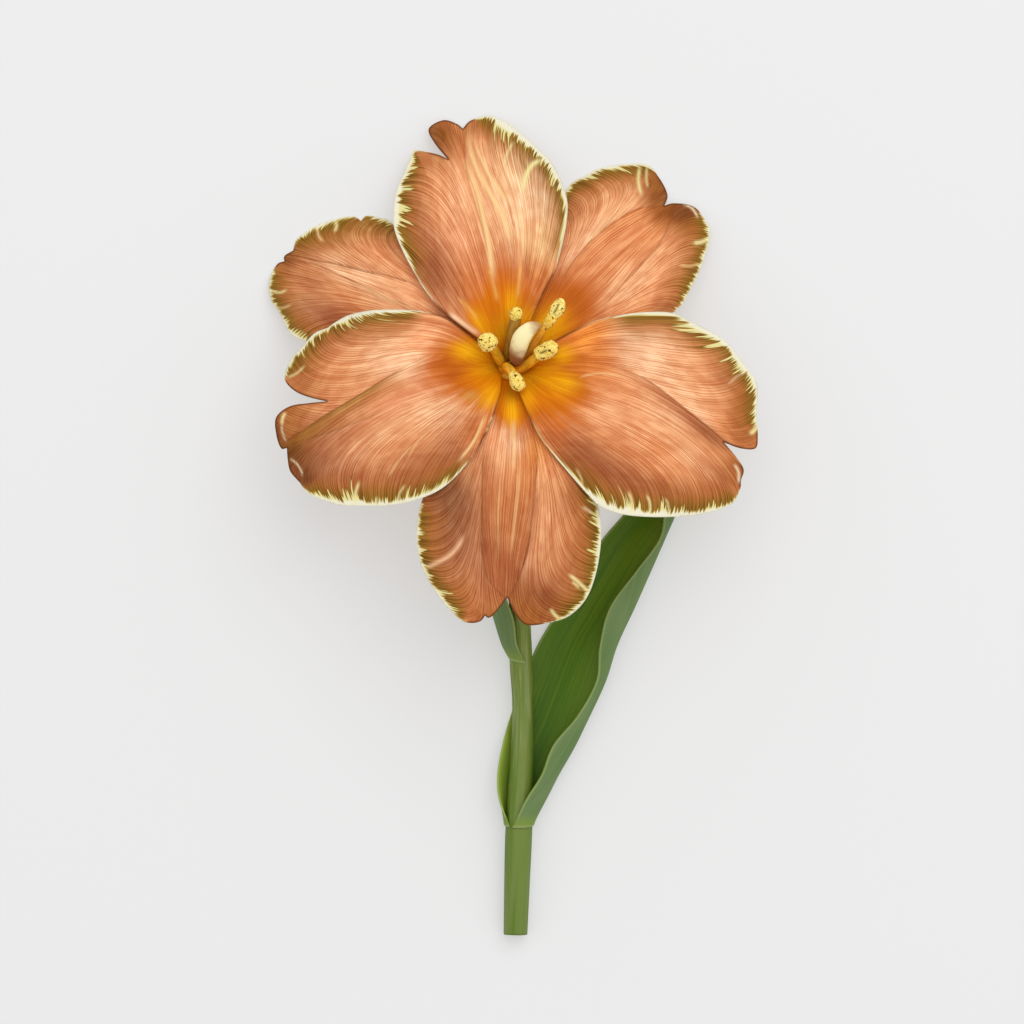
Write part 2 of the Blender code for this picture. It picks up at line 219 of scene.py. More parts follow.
def calc(tree, operation, *values):
    """One step of arithmetic."""
    step = tree.nodes.new("ShaderNodeMath")
    step.operation = operation
    for socket, value in zip(step.inputs, values):
        fill(tree, socket, value)
    return step.outputs[0]


def times(tree, first, second):
    """One value multiplied by another."""
    return calc(tree, "MULTIPLY", first, second)


def plus(tree, first, second):
    """The sum of two values."""
    return calc(tree, "ADD", first, second)


def less(tree, first, second):
    """The first value less the second."""
    return calc(tree, "SUBTRACT", first, second)


def ease(tree, value, low, high):
    """0 below low, 1 above high, with an easy slope between; low may be above high to turn it round."""
    step = tree.nodes.new("ShaderNodeMapRange")
    step.interpolation_type = "SMOOTHSTEP"
    for label, setting in (("Value", value), ("From Min", low), ("From Max", high)):
        fill(tree, step.inputs[label], setting)
    return step.outputs["Result"]


def blend_paint(tree, share, under, over, blend="MIX"):
    """One colour laid over another by a share."""
    step = tree.nodes.new("ShaderNodeMix")
    step.data_type = "RGBA"
    step.blend_type = blend
    colours = [socket for socket in step.inputs if socket.type == "RGBA"]
    fill(tree, step.inputs["Factor"], share)
    fill(tree, colours[0], under)
    fill(tree, colours[1], over)
    return [socket for socket in step.outputs if socket.type == "RGBA"][0]


def mark(tree, label, kind="Fac"):
    """A mark that the mesh carries at each point."""
    reader = tree.nodes.new("ShaderNodeAttribute")
    reader.attribute_name = label
    return reader.outputs[kind]


def grain(tree, vector, scale, detail=2.0, roughness=0.5):
    """Soft random grain, from 0 to 1."""
    step = tree.nodes.new("ShaderNodeTexNoise")
    settings = (("Vector", vector), ("Scale", scale), ("Detail", detail), ("Roughness", roughness))
    for label, setting in settings:
        fill(tree, step.inputs[label], setting)
    return step.outputs["Fac"]


def place3(tree, x, y, z=0.0):
    """A place made of three values."""
    step = tree.nodes.new("ShaderNodeCombineXYZ")
    for socket, value in zip(step.inputs, (x, y, z)):
        fill(tree, socket, value)
    return step.outputs[0]


def coat(tree, shader, paint, roughness, shine=0.5):
    """The skin's colour, and how rough and how shiny it is."""
    tree.links.new(paint, shader.inputs["Base Color"])
    shader.inputs["Roughness"].default_value = roughness
    shader.inputs["Specular IOR Level"].default_value = shine


def relief_from(tree, shader, height, depth):
    """Fine relief in the skin, of a depth in metres."""
    step = tree.nodes.new("ShaderNodeBump")
    fill(tree, step.inputs["Distance"], depth)
    fill(tree, step.inputs["Height"], height)
    tree.links.new(step.outputs["Normal"], shader.inputs["Normal"])


# The stem's route is (x, y, height, radius), from the cut end on.
stem_route = (
    (2.0, -172.0, 3.44, 3.6), (2.5, -155.0, 4.7, 3.9), (3.0, -140.0, 5.25, 4.05), (3.9, -119.0, 4.95, 3.5),
    (4.1, -102.5, 4.6, 3.1), (3.6, -89.0, 4.7, 3.4), (3.1, -72.0, 4.6, 3.1), (1.8, -45.0, 4.7, 3.0),
)
stem_sides = 48
ridge_count = 11
ridge_height = 0.05
ridge_waver = 0.10
cut_rounding = 0.25
stem_rest_gap = 0.02
neck_radius = 2.9
neck_start_height = 5.0
neck_start_side = 0.6
swelling_depth = 2.6
receptacle_radius = 5.2
dome_radius = 3.8
dome_height = 2.6
dome_top_radius = 0.3

stem_green = (0.120, 0.195, 0.012)
pale_stem_green = (0.185, 0.240, 0.036)
stem_thread_green = (0.240, 0.295, 0.078)
stem_bloom_grey = (0.300, 0.345, 0.200)
foot_green = (0.094, 0.165, 0.008)
pale_foot_green = (0.132, 0.198, 0.026)
cut_green = (0.420, 0.500, 0.240)
heart_gold = (0.900, 0.440, 0.008)

lying = smooth_curve(stem_route, 14)
turn = math.pi / 2 - flower_lean
bend = (receptacle_height - neck_start_height) / (1 - math.cos(turn))
neck = []
for share in np.linspace(0, 1, 25)[:-1]:
    angle = turn * share
    neck.append((
        neck_start_side * (1 - share) ** 2,
        bend * (math.sin(angle) - math.sin(turn)),
        neck_start_height + bend * (1 - math.cos(angle)),
        neck_radius,
    ))
swelling = []
for below in np.linspace(swelling_depth, 0, 9):
    share = 1 - (below / swelling_depth) ** 2
    swelling.append((
        0.0,
        -below * math.sin(flower_lean),
        receptacle_height - below * math.cos(flower_lean),
        neck_radius + (receptacle_radius - neck_radius) * share,
    ))
dome = []
for share in np.linspace(0, 1, 12)[1:]:
    rise = dome_height * math.sin(0.5 * math.pi * share)
    dome.append((
        0.0,
        rise * math.sin(flower_lean),
        receptacle_height + rise * math.cos(flower_lean),
        max(dome_radius * math.cos(0.5 * math.pi * share), dome_top_radius),
    ))
stem_line = np.vstack([lying, neck, swelling, dome])
cut_lip = stem_line[:1] + np.array([[0, cut_rounding, 0, 0]])
stem_line[0, 3] -= cut_rounding
stem_line = np.vstack([stem_line[:1], cut_lip, stem_line[1:]])


def stem_ridges(angle, place, radius):
    """Faint ridges, which waver a little along the stem."""
    drift = noise.noise(Vector((math.cos(angle) * 1.5, math.sin(angle) * 1.5, place * 0.03)))
    return ridge_height * math.sin(ridge_count * angle + 1.5 * drift) + ridge_waver * drift


points, faces, angles, places = tube(stem_line, stem_sides, stem_ridges)
points[:, 2] = np.maximum(points[:, 2], stem_rest_gap)
cut_face = np.zeros(len(points))
cut_face[-2] = 1.0
heart = np.clip((places - places.max() + dome_height + 0.3) / 0.6, 0, 1)
stem_grain = np.column_stack([np.cos(angles) * 3.4, np.sin(angles) * 3.4, places * 0.05])

stem_skin, tree, shader = new_skin("stem_skin")
threads = grain(tree, mark(tree, "threads", "Vector"), 1.6, 4.0, 0.6)
patches = grain(tree, mark(tree, "threads", "Vector"), 0.35)
bloom = grain(tree, mark(tree, "threads", "Vector"), 0.8, 3.0)
green = blend_paint(tree, ease(tree, patches, 0.35, 0.65), stem_green, pale_stem_green)
green = blend_paint(tree, ease(tree, threads, 0.40, 0.66), green, stem_thread_green)
green = blend_paint(tree, times(tree, ease(tree, bloom, 0.5, 0.75), 0.5), green, stem_bloom_grey)
lower = blend_paint(tree, ease(tree, patches, 0.40, 0.60), foot_green, pale_foot_green)
near_foot = ease(tree, mark(tree, "place"), 90.0, 20.0)
green = blend_paint(tree, times(tree, near_foot, 0.85), green, lower)
green = blend_paint(tree, ease(tree, mark(tree, "cut_face"), 0.0, 0.9), green, cut_green)
green = blend_paint(tree, mark(tree, "heart"), green, heart_gold)
coat(tree, shader, green, 0.5, 0.35)
relief_from(tree, shader, threads, 0.00008)

grown_piece(
    "stem_grown", points, faces, "stem", [stem_skin],
    dict(threads=stem_grain, place=places, cut_face=cut_face, heart=heart),
)


# ---- Leaves --------------------------------------------------------------------------------------
# Two fleshy leaves, each a single blade whose foot clasps the stem. The inner face is deep green, the outer
# face has a waxy grey bloom, and the margins are pale and curl inwards over the blade.

leaf_thickness = 0.7
leaf_clearance = 0.12
leaf_rest_gap = 0.03
leaf_thinnest = 0.4
margin_fullness = 0.45
margin_width = 4.0
foot_fullness = 0.5
foot_length = 8.0
foot_curve = 0.9
wave_start_length = 25.0
wave_reach = 6.0

# A clasp says how a leaf's foot turns round the stem, in degrees. Sections are (y, points across the blade),
# each point (x, height).
large_leaf_clasp = dict(y=-139.5, centre=(3.0, 5.25), stem_radius=4.05, start=128.0, sweep=350.0, slant=0.0)
large_leaf_sections = (
    (-131.0, ((-2.9, 7.0), (-1.2, 2.2), (3.2, 0.42), (8.0, 1.2), (10.9, 5.6), (5.1, 11.0))),
    (-123.5, ((-3.4, 6.0), (-0.9, 1.6), (4.6, 0.4), (10.6, 1.0), (14.8, 5.6), (9.8, 11.0))),
    (-114.5, ((-1.9, 4.2), (1.2, 1.0), (7.6, 0.4), (14.6, 1.2), (19.9, 5.6), (13.4, 10.8))),
    (-105.5, ((0.6, 1.3), (3.6, 0.42), (10.4, 0.42), (17.6, 1.4), (24.2, 5.8), (20.8, 9.2))),
    (-95.0, ((4.4, 0.42), (8.4, 0.4), (14.4, 0.6), (21.4, 2.2), (28.9, 6.2), (26.4, 8.8))),
    (-84.5, ((8.6, 1.6), (12.6, 0.5), (18.2, 0.5), (24.8, 2.4), (32.4, 6.8), (27.4, 10.2))),
    (-73.0, ((15.5, 2.4), (19.4, 0.7), (24.4, 0.5), (30.8, 2.4), (37.7, 7.2), (30.4, 10.8))),
    (-62.0, ((22.3, 2.6), (26.0, 0.8), (30.6, 0.5), (36.4, 2.2), (42.6, 6.2), (38.4, 9.0))),
    (-52.0, ((28.6, 2.4), (32.2, 0.8), (36.0, 0.5), (41.0, 2.0), (46.8, 5.4), (45.6, 7.6))),
    (-42.0, ((37.0, 2.0), (39.8, 0.7), (43.0, 0.5), (46.8, 1.8), (51.0, 4.8), (47.6, 7.8))),
    (-28.0, ((45.4, 1.4), (47.0, 0.7), (48.8, 0.45), (50.8, 1.0), (53.0, 2.8), (53.8, 4.8))),
    (-13.0, ((53.3, 0.7), (53.7, 0.5), (54.1, 0.42), (54.5, 0.5), (54.9, 0.7), (55.3, 1.0))),
)
small_leaf_clasp = dict(y=-90.0, centre=(3.6, 4.7), stem_radius=3.4, start=65.0, sweep=205.0, slant=2.5)
small_leaf_sections = (
    (-84.0, ((2.4, 9.1), (-0.2, 8.0), (-2.0, 5.0), (-0.8, 2.0), (2.0, 0.7))),
    (-77.0, ((1.5, 9.6), (-2.2, 8.4), (-4.2, 5.2), (-2.8, 2.2), (0.2, 1.0))),
    (-69.0, ((-1.2, 10.2), (-4.6, 9.2), (-6.6, 6.0), (-5.4, 2.8), (-2.6, 1.4))),
    (-58.0, ((-4.6, 9.6), (-7.4, 9.0), (-9.2, 6.2), (-8.4, 3.6), (-6.2, 2.2))),
    (-48.0, ((-8.6, 8.6), (-10.0, 8.4), (-11.2, 6.8), (-10.8, 5.2), (-9.8, 4.4))),
    (-41.0, ((-11.6, 7.5), (-11.9, 7.35), (-12.1, 7.1), (-12.1, 6.85), (-12.0, 6.7))),
)

bloom_green = (0.105, 0.185, 0.050)
pale_bloom_green = (0.140, 0.215, 0.074)
bloom_vein_green = (0.170, 0.240, 0.086)
left_leaf_green = (0.088, 0.182, 0.012)
deep_leaf_green = (0.055, 0.140, 0.001)
right_leaf_green = (0.098, 0.185, 0.012)
leaf_vein_green = (0.150, 0.236, 0.008)
leaf_cloud_green = (0.070, 0.150, 0.003)
lit_flap_green = (0.360, 0.500, 0.060)
leaf_margin_green = (0.300, 0.390, 0.120)
leaf_foot_green = (0.170, 0.255, 0.030)
leaf_seam_green = (0.270, 0.340, 0.110)


def leaf_skin(name, outside):
    """Leaf skin with lengthwise veins: deep green inside, or grey-green with a waxy bloom outside."""
    skin, tree, shader = new_skin(name)
    across = mark(tree, "across")
    along = mark(tree, "along")
    width = mark(tree, "girth")
    veins = grain(tree, place3(tree, times(tree, width, 1.1), times(tree, along, 0.02)), 1.0, 3.0, 0.6)
    cloud = grain(tree, place3(tree, times(tree, width, 0.10), times(tree, along, 0.03), 4.0), 1.0)
    if outside:
        paint = blend_paint(tree, ease(tree, cloud, 0.35, 0.65), bloom_green, pale_bloom_green)
        paint = blend_paint(tree, times(tree, ease(tree, veins, 0.40, 0.65), 0.5), paint, bloom_vein_green)
    else:
        paint = blend_paint(tree, ease(tree, across, 0.02, 0.36), left_leaf_green, deep_leaf_green)
        paint = blend_paint(tree, ease(tree, across, 0.46, 0.74), paint, right_leaf_green)
        paint = blend_paint(tree, times(tree, ease(tree, veins, 0.42, 0.66), 0.45), paint, leaf_vein_green)
        paint = blend_paint(tree, times(tree, ease(tree, cloud, 0.5, 0.7), 0.35), paint, leaf_cloud_green)
        # Painted light: the inner flap near the foot is laid over with a paler green, as if lit through.
        clasp = times(tree, ease(tree, across, 0.30, 0.10), ease(tree, along, 46.0, 32.0))
        paint = blend_paint(tree, clasp, paint, lit_flap_green)
    margin = ease(tree, mark(tree, "margin"), 0.75, 0.25)
    paint = blend_paint(tree, times(tree, margin, 0.60), paint, leaf_margin_green)
    paint = blend_paint(tree, ease(tree, along, 6.0, 0.5), paint, leaf_foot_green)
    paint = blend_paint(tree, ease(tree, along, 1.2, 0.1), paint, leaf_seam_green)
    coat(tree, shader, paint, 0.55 if outside else 0.50, 0.35 if outside else 0.20)
    relief_from(tree, shader, veins, 0.00010)
    return skin


leaf_skins = [leaf_skin("leaf_inner_skin", False), leaf_skin("leaf_outer_skin", True)]


def thicken(piece, thickness, thinnest, fullness):
    """Gives a sheet its thickness, which thins towards a share of it where the fullness falls below 1."""
    group = piece.vertex_groups.new(name="fullness")
    for i, share in enumerate(fullness):
        group.add([i], min(1.0, share), "REPLACE")
    body = piece.modifiers.new("thickness", "SOLIDIFY")
    body.thickness = thickness * MM
    body.offset = 0.0
    body.vertex_group = "fullness"
    body.thickness_vertex_group = thinnest
    body.material_offset = 1
    body.material_offset_rim = 0


def walked_along(blade, axis):
    """How far each point of a blade lies along its own line, from that line's first point."""
    spans = np.linalg.norm(np.diff(blade, axis=axis), axis=2)
    return np.insert(np.cumsum(spans, axis=axis), 0, 0.0, axis=axis)


def make_leaf(node, clasp, sections, columns, per_span, wave, wave_seed):
    """A leaf blade: smooth lines from its clasping foot to its tip, with a gentle wave along its margins."""
    radius = clasp["stem_radius"] + leaf_clearance + leaf_thickness * foot_fullness / 2
    foot = []
    for k in range(columns + 1):
        angle = math.radians(clasp["start"] + clasp["sweep"] * k / columns)
        foot.append((
            clasp["centre"][0] + radius * math.cos(angle),
            clasp["y"] + clasp["slant"] * k / columns + foot_curve * (1 - math.sin(angle)),
            clasp["centre"][1] + radius * math.sin(angle),
        ))
    rows = [np.array(foot)]
    for y, section in sections:
        fine = smooth_curve(section, 24)
        picks = np.linspace(0, len(fine) - 1, columns + 1)
        x = np.interp(picks, range(len(fine)), fine[:, 0])
        z = np.interp(picks, range(len(fine)), fine[:, 1])
        rows.append(np.column_stack([x, np.full(columns + 1, y), z]))
    blade = np.array([smooth_curve([row[k] for row in rows], per_span) for k in range(columns + 1)])
    steps = blade.shape[1]
    share = np.linspace(0, 1, columns + 1)[:, None] * np.ones((1, steps))
    girth = walked_along(blade, 0)
    length = walked_along(blade, 1)
    to_margin = np.minimum(girth, girth[-1:] - girth)
    for k in range(columns + 1):
        for step in range(steps):
            place = length[k, step]
            lift = noise.noise(Vector((share[k, step] * 1.4 + wave_seed, place * 0.045, 0.3)))
            hold = min(place / wave_start_length, 1.0) * (1 - 0.6 * step / steps)
            blade[k, step, 2] += wave * hold * lift * math.exp(-to_margin[k, step] / wave_reach)
    blade[:, :, 2] = np.maximum(blade[:, :, 2], leaf_thickness / 2 + leaf_rest_gap)
    faces = []
    for k in range(columns):
        for step in range(steps - 1):
            a = k * steps + step
            faces.append((a, a + steps, a + steps + 1, a + 1))
    piece = grown_piece(
        node + "_grown", blade.reshape(-1, 3), faces, node, leaf_skins,
        dict(across=share.ravel(), along=length.ravel(), girth=girth.ravel(), margin=to_margin.ravel()),
    )
    fullness = np.minimum(margin_fullness + to_margin / margin_width, foot_fullness + length / foot_length)
    thicken(piece, leaf_thickness, leaf_thinnest, fullness.ravel())


make_leaf("leaf_large", large_leaf_clasp, large_leaf_sections, 44, 14, wave=0.8, wave_seed=2.0)
make_leaf("leaf_small", small_leaf_clasp, small_leaf_sections, 24, 12, wave=0.3, wave_seed=7.0)


# ---- Outer petals --------------------------------------------------------------------------------
# Three broad petals of the outer whorl, held on the receptacle by their narrow roots. Each is a thin ruffled
# blade, split at its tip, with a ribbed band up its middle and fine veins that sweep out to a cream margin.

petal_thickness = 0.55
petal_thinnest = 0.45
thinning_width = 5.0
root_lift = 0.75
rise_length = 11.0
droop_power = 2.6
rest_softness = 0.5
rest_height = 0.37
petal_widest = 0.58
petal_taper = 0.66
whorl_rise = dict(inner=15.0, outer=10.5)
whorl_root = dict(inner=3.3, outer=4.4)
root_half_angle = 28
grid_step = 0.5
rim_step = 0.45
rim_clearance = 0.3
fold_clearance = 0.35
fold_half_width = 0.10
ruffle_scale = 0.085
ruffle_reach = 7.0
pleat_depth = 0.45
pleat_reach = 4.0
fold_start_fade = 0.25
streak_taper = 5
vein_powers = 5
vein_smoothing = 3e-4
vein_gap_at_seams = 97
short_of_creases = -99.0
clear_of_folds = 20.0
far_away = 1e9

salmon = (0.800, 0.335, 0.150)
# Pale peach: the petals' paler parts, and painted highlight where petals face the light and beside folds.
pale_peach_and_highlight = (0.960, 0.560, 0.310)
rose = (0.800, 0.290, 0.150)
# Mauve brown: darker petal tone, and painted shade where petals turn away, lie under others or fold.
mauve_brown_and_shade = (0.340, 0.095, 0.036)
rust = (0.600, 0.155, 0.028)
# Tip brown: the tips' own brown, and painted shade where the tips curl down and away from the light.
tip_brown_and_shade = (0.350, 0.105, 0.018)
olive_brown = (0.330, 0.165, 0.025)
orange = (0.820, 0.250, 0.030)
cream_peach = (0.960, 0.640, 0.290)
# Painted glints: pale streaks laid over the gold near the top petal's root.
gold_glint = (0.920, 0.480, 0.130)
bright_gold = (1.000, 0.480, 0.006)
deep_gold = (0.640, 0.165, 0.003)
olive_gold = (0.480, 0.190, 0.004)
red_rust = (0.470, 0.098, 0.010)
grey_gold = (0.640, 0.350, 0.090)
# Dark tip: the darkest tip brown, and painted shade under curled tips and lips.
dark_tip_and_shade = (0.150, 0.045, 0.008)
# Deep brown: darker petal tone, and painted shade in folds, hollows and turned-away parts.
deep_brown_and_shade = (0.215, 0.070, 0.022)
# Painted highlight: bright peach laid where the petals face the light most.
highlight_peach = (1.000, 0.660, 0.400)
bright_salmon = (1.000, 0.410, 0.180)
hot_orange = (1.000, 0.300, 0.030)
cream_yellow = (0.880, 0.760, 0.340)
# Painted highlight along the petals' rolled lips and curled tips.
lip_highlight = (0.860, 0.680, 0.430)

margin_browns = ((0.260, 0.080, 0.011), (0.490, 0.168, 0.036))
margin_olives = ((0.115, 0.062, 0.003), (0.300, 0.166, 0.019))
margin_creams = ((0.770, 0.685, 0.300), (0.830, 0.790, 0.600))
margin_yellow = (0.600, 0.460, 0.120)
bare_rim_brown_and_shade = (0.130, 0.038, 0.008)
crease_shade_brown = (0.240, 0.070, 0.020)
back_peaches = ((0.590, 0.300, 0.150), (0.730, 0.410, 0.215))
back_flame_green = (0.300, 0.330, 0.090)
back_root_green = (0.480, 0.480, 0.130)
back_margin_cream = (0.850, 0.800, 0.400)

gold_places = (0.0, 0.25, 0.55, 0.85, 1.20)
bright_heart = (
    olive_gold, (0.700, 0.195, 0.001), (0.760, 0.200, 0.002), (0.680, 0.165, 0.008), (0.620, 0.150, 0.024),
)
rust_heart = (
    deep_gold, (0.900, 0.330, 0.004), (0.740, 0.220, 0.006), (0.600, 0.150, 0.016), (0.620, 0.170, 0.040),
)


def soft_step(low, high, value):
    """0 below low, 1 above high, with an easy slope between."""
    t = np.clip((value - low) / (high - low), 0, 1)
    return t * t * (3 - 2 * t)


def oval(x, y, centre, size, angle):
    """How far each point lies from a centre, counted so that the oval of that size and angle lies at 1."""
    c, s = math.cos(math.radians(angle)), math.sin(math.radians(angle))
    dx, dy = x - centre[0], y - centre[1]
    return np.hypot((dx * c + dy * s) / size[0], (dy * c - dx * s) / size[1])


def petal_rim(runs):
    """A petal's rim in even steps, run after run, with its corners kept: rows of x, y and cream width."""
    rim = [even_steps(smooth_curve(run, 10), rim_step) for run in runs]
    return np.vstack([rim[0]] + [run[1:] for run in rim[1:]])


def beside(x, y, line):
    """How far each point lies from a drawn line, less than 0 on its right, and where along it, 0 to 1."""
    line = even_steps(smooth_curve(line, 12), 1.0)[:, :2]
    a, span = line[:-1], np.diff(line, axis=0)
    reach = np.linalg.norm(span, axis=1)
    best = np.full(len(x), far_away)
    side = np.zeros(len(x))
    place = np.zeros(len(x))
    for k in range(len(a)):
        dx, dy = x - a[k, 0], y - a[k, 1]
        t = np.clip((dx * span[k, 0] + dy * span[k, 1]) / reach[k] ** 2, 0, 1)
        gap = np.hypot(dx - t * span[k, 0], dy - t * span[k, 1])
        nearer = gap < best
        best = np.where(nearer, gap, best)
        side = np.where(nearer, np.sign(span[k, 0] * dy - span[k, 1] * dx), side)
        place = np.where(nearer, (k + t) / len(a), place)
    return best * side, place


def from_rim(x, y, rim):
    """Each point's distance from the rim, the cream width there, and whether the point is inside."""
    closed = np.vstack([rim, rim[:1]])
    best = np.full(len(x), far_away)
    cream = np.zeros(len(x))
    inside = np.zeros(len(x), bool)
    for (ax, ay, aw), (bx, by, bw) in zip(closed[:-1], closed[1:]):
        dx, dy = bx - ax, by - ay
        t = np.clip(((x - ax) * dx + (y - ay) * dy) / (dx * dx + dy * dy), 0, 1)
        gap = np.hypot(x - ax - t * dx, y - ay - t * dy)
        nearer = gap < best
        best = np.where(nearer, gap, best)
        cream = np.where(nearer, aw + t * (bw - aw), cream)
        if ay != by:
            inside ^= ((ay > y) != (by > y)) & (x < (bx - ax) * (y - ay) / (by - ay) + ax)
    return best, cream, inside


def turned(x, y, form):
    """Places along and across a petal's own direction."""
    direction = math.radians(form["direction"])
    along = x * math.cos(direction) + y * math.sin(direction)
    return along, y * math.cos(direction) - x * math.sin(direction)


def petal_places(x, y, form):
    """Where points lie on a petal: place along it, distance across its bowed midrib, share of the half."""
    along, across = turned(x, y, form)
    t = np.clip(along / form["reach"], 0, 1.1)
    across = across - form["bow"] * 4 * t * (1 - t)
    half = np.where(across > 0, form["half_width"][0], form["half_width"][1])
    girth = np.sqrt(np.maximum(0.05, 1 - ((t - petal_widest) / petal_taper) ** 2))
    return t, across, np.abs(across) / (half * girth)


def vein_shapes(x, y, form):
    """The plain shapes that a vein field is a sum of: round the heart, and outwards from it."""
    along, across = turned(x, y, form)
    turn = np.arctan2(across, along)
    out = np.hypot(x, y) / form["reach"]
    return np.stack([turn**i * out**j for i in range(vein_powers) for j in range(vein_powers)], axis=-1)


def vein_field(form, drawn):
    """A smooth field that keeps each drawn vein's number all along it; the other veins run between them."""
    places, numbers = [], []
    for number, line in drawn:
        places.append(np.outer((0.4, 0.6, 0.8), line[0]))
        places.append(smooth_curve(line, 8))
        numbers += [number] * (len(places[-2]) + len(places[-1]))
    places = np.vstack(places)
    shapes = vein_shapes(places[:, 0], places[:, 1], form)
    stiffness = vein_smoothing * np.eye(shapes.shape[1])
    return np.linalg.solve(shapes.T @ shapes + stiffness, shapes.T @ np.array(numbers, float))


def crowding(x, y, form, field):
    """How closely the veins crowd at each point, in doublings."""
    step = 0.05
    across = (vein_shapes(x + step, y, form) - vein_shapes(x - step, y, form)) @ field
    up = (vein_shapes(x, y + step, form) - vein_shapes(x, y - step, form)) @ field
    return np.log2(np.clip(np.hypot(across, up) / (2 * step), 0.3, 60.0))


def petal_height(x, y, form):
    """Height of a petal's middle surface: a leaning bowl with two arched halves and a drooping tip."""
    radius = np.hypot(x, y)
    t, across, q = petal_places(x, y, form)
    q = np.minimum(q, 1.0)
    arch = np.where(across > 0, form["arch"][0], form["arch"][1])
    past_root = np.maximum(radius - whorl_root[form["whorl"]], 0)
    z = receptacle_height + root_lift - y * math.tan(flower_lean)
    z = z + whorl_rise[form["whorl"]] * (1 - np.exp(-past_root / rise_length))
    z = z - form["droop"] * (radius / form["reach"]) ** droop_power
    return z + soft_step(0.12, 0.42, t) * (arch * np.sin(math.pi * q) - form["turn_down"] * q**4)


def tinted(tree, paint, tint):
    """A colour with each of its channels multiplied by its own share."""
    return blend_paint(tree, 1.0, paint, tint, "MULTIPLY")


def mottled(tree, share, paint, darker, lighter):
    """A colour in two tints, the lighter one where the share is high."""
    return blend_paint(tree, share, tinted(tree, paint, darker), tinted(tree, paint, lighter))


def parts3(tree, vector):
    """The three values that make a place."""
    step = tree.nodes.new("ShaderNodeSeparateXYZ")
    fill(tree, step.inputs[0], vector)
    return step.outputs


def between(tree, share, first, second):
    """A value on its way from one to another."""
    step = tree.nodes.new("ShaderNodeMix")
    for label, setting in (("Factor", share), ("A", first), ("B", second)):
        fill(tree, step.inputs[label], setting)
    return step.outputs["Result"]


def veins_here(tree):
    """For the part of the petal, between its creases, that a point is in: the vein number and the crowding.

    The crowding's whole doublings follow, and how far it is on its way to the next one.
    """
    creases = parts3(tree, mark(tree, "creases", "Vector"))
    past = [calc(tree, "GREATER_THAN", crease, 0.0) for crease in creases]
    found = []
    for label in ("veins", "crowding"):
        values = parts3(tree, mark(tree, label, "Vector"))
        found.append(between(tree, past[1], between(tree, past[0], values[0], values[1]), values[2]))
    vein, crowding = found
    whole = calc(tree, "FLOOR", crowding)
    return vein, crowding, whole, ease(tree, less(tree, crowding, whole), 0.25, 0.75)


def combed_lines(tree, spacing, seed):
    """Brushed grain along the veins, evenly spaced: it forks where they spread and joins as they crowd."""
    vein, _, whole, part = veins_here(tree)
    drift = times(tree, mark(tree, "flow"), 0.03)
    coarse = calc(tree, "POWER", 2.0, times(tree, whole, -1.0))
    place = times(tree, calc(tree, "DIVIDE", vein, spacing), coarse)
    near = grain(tree, place3(tree, place, drift, seed), 1.0, 0.6)
    far = grain(tree, place3(tree, times(tree, place, 0.5), drift, seed), 1.0, 0.6)
    return between(tree, part, near, far)


def vein_lines(tree, spacing, width, seed):
    """Thin separate veins, wavering a little and some fainter than others: 1 on a vein, 0 between them."""
    vein, crowding, whole, part = veins_here(tree)
    closeness = calc(tree, "POWER", 2.0, crowding)
    flow = mark(tree, "flow")
    waver = grain(tree, place3(tree, times(tree, flow, 0.16), times(tree, vein, 0.3), seed), 1.0)
    waver = times(tree, less(tree, waver, 0.5), 1.1)
    vein = plus(tree, vein, times(tree, waver, closeness))
    coarse = times(tree, calc(tree, "POWER", 2.0, whole), spacing)
    lines = []
    for scale in (1.0, 2.0):
        gap = times(tree, coarse, scale)
        nearest = times(tree, calc(tree, "ROUND", calc(tree, "DIVIDE", vein, gap)), gap)
        off = calc(tree, "DIVIDE", calc(tree, "ABSOLUTE", less(tree, vein, nearest)), closeness)
        fade = grain(tree, place3(tree, times(tree, nearest, 1.7), times(tree, flow, 0.06), seed), 1.0, 1.0)
        lines.append(times(tree, ease(tree, off, width, 0.0), ease(tree, fade, 0.25, 0.70)))
    return between(tree, part, lines[0], lines[1])


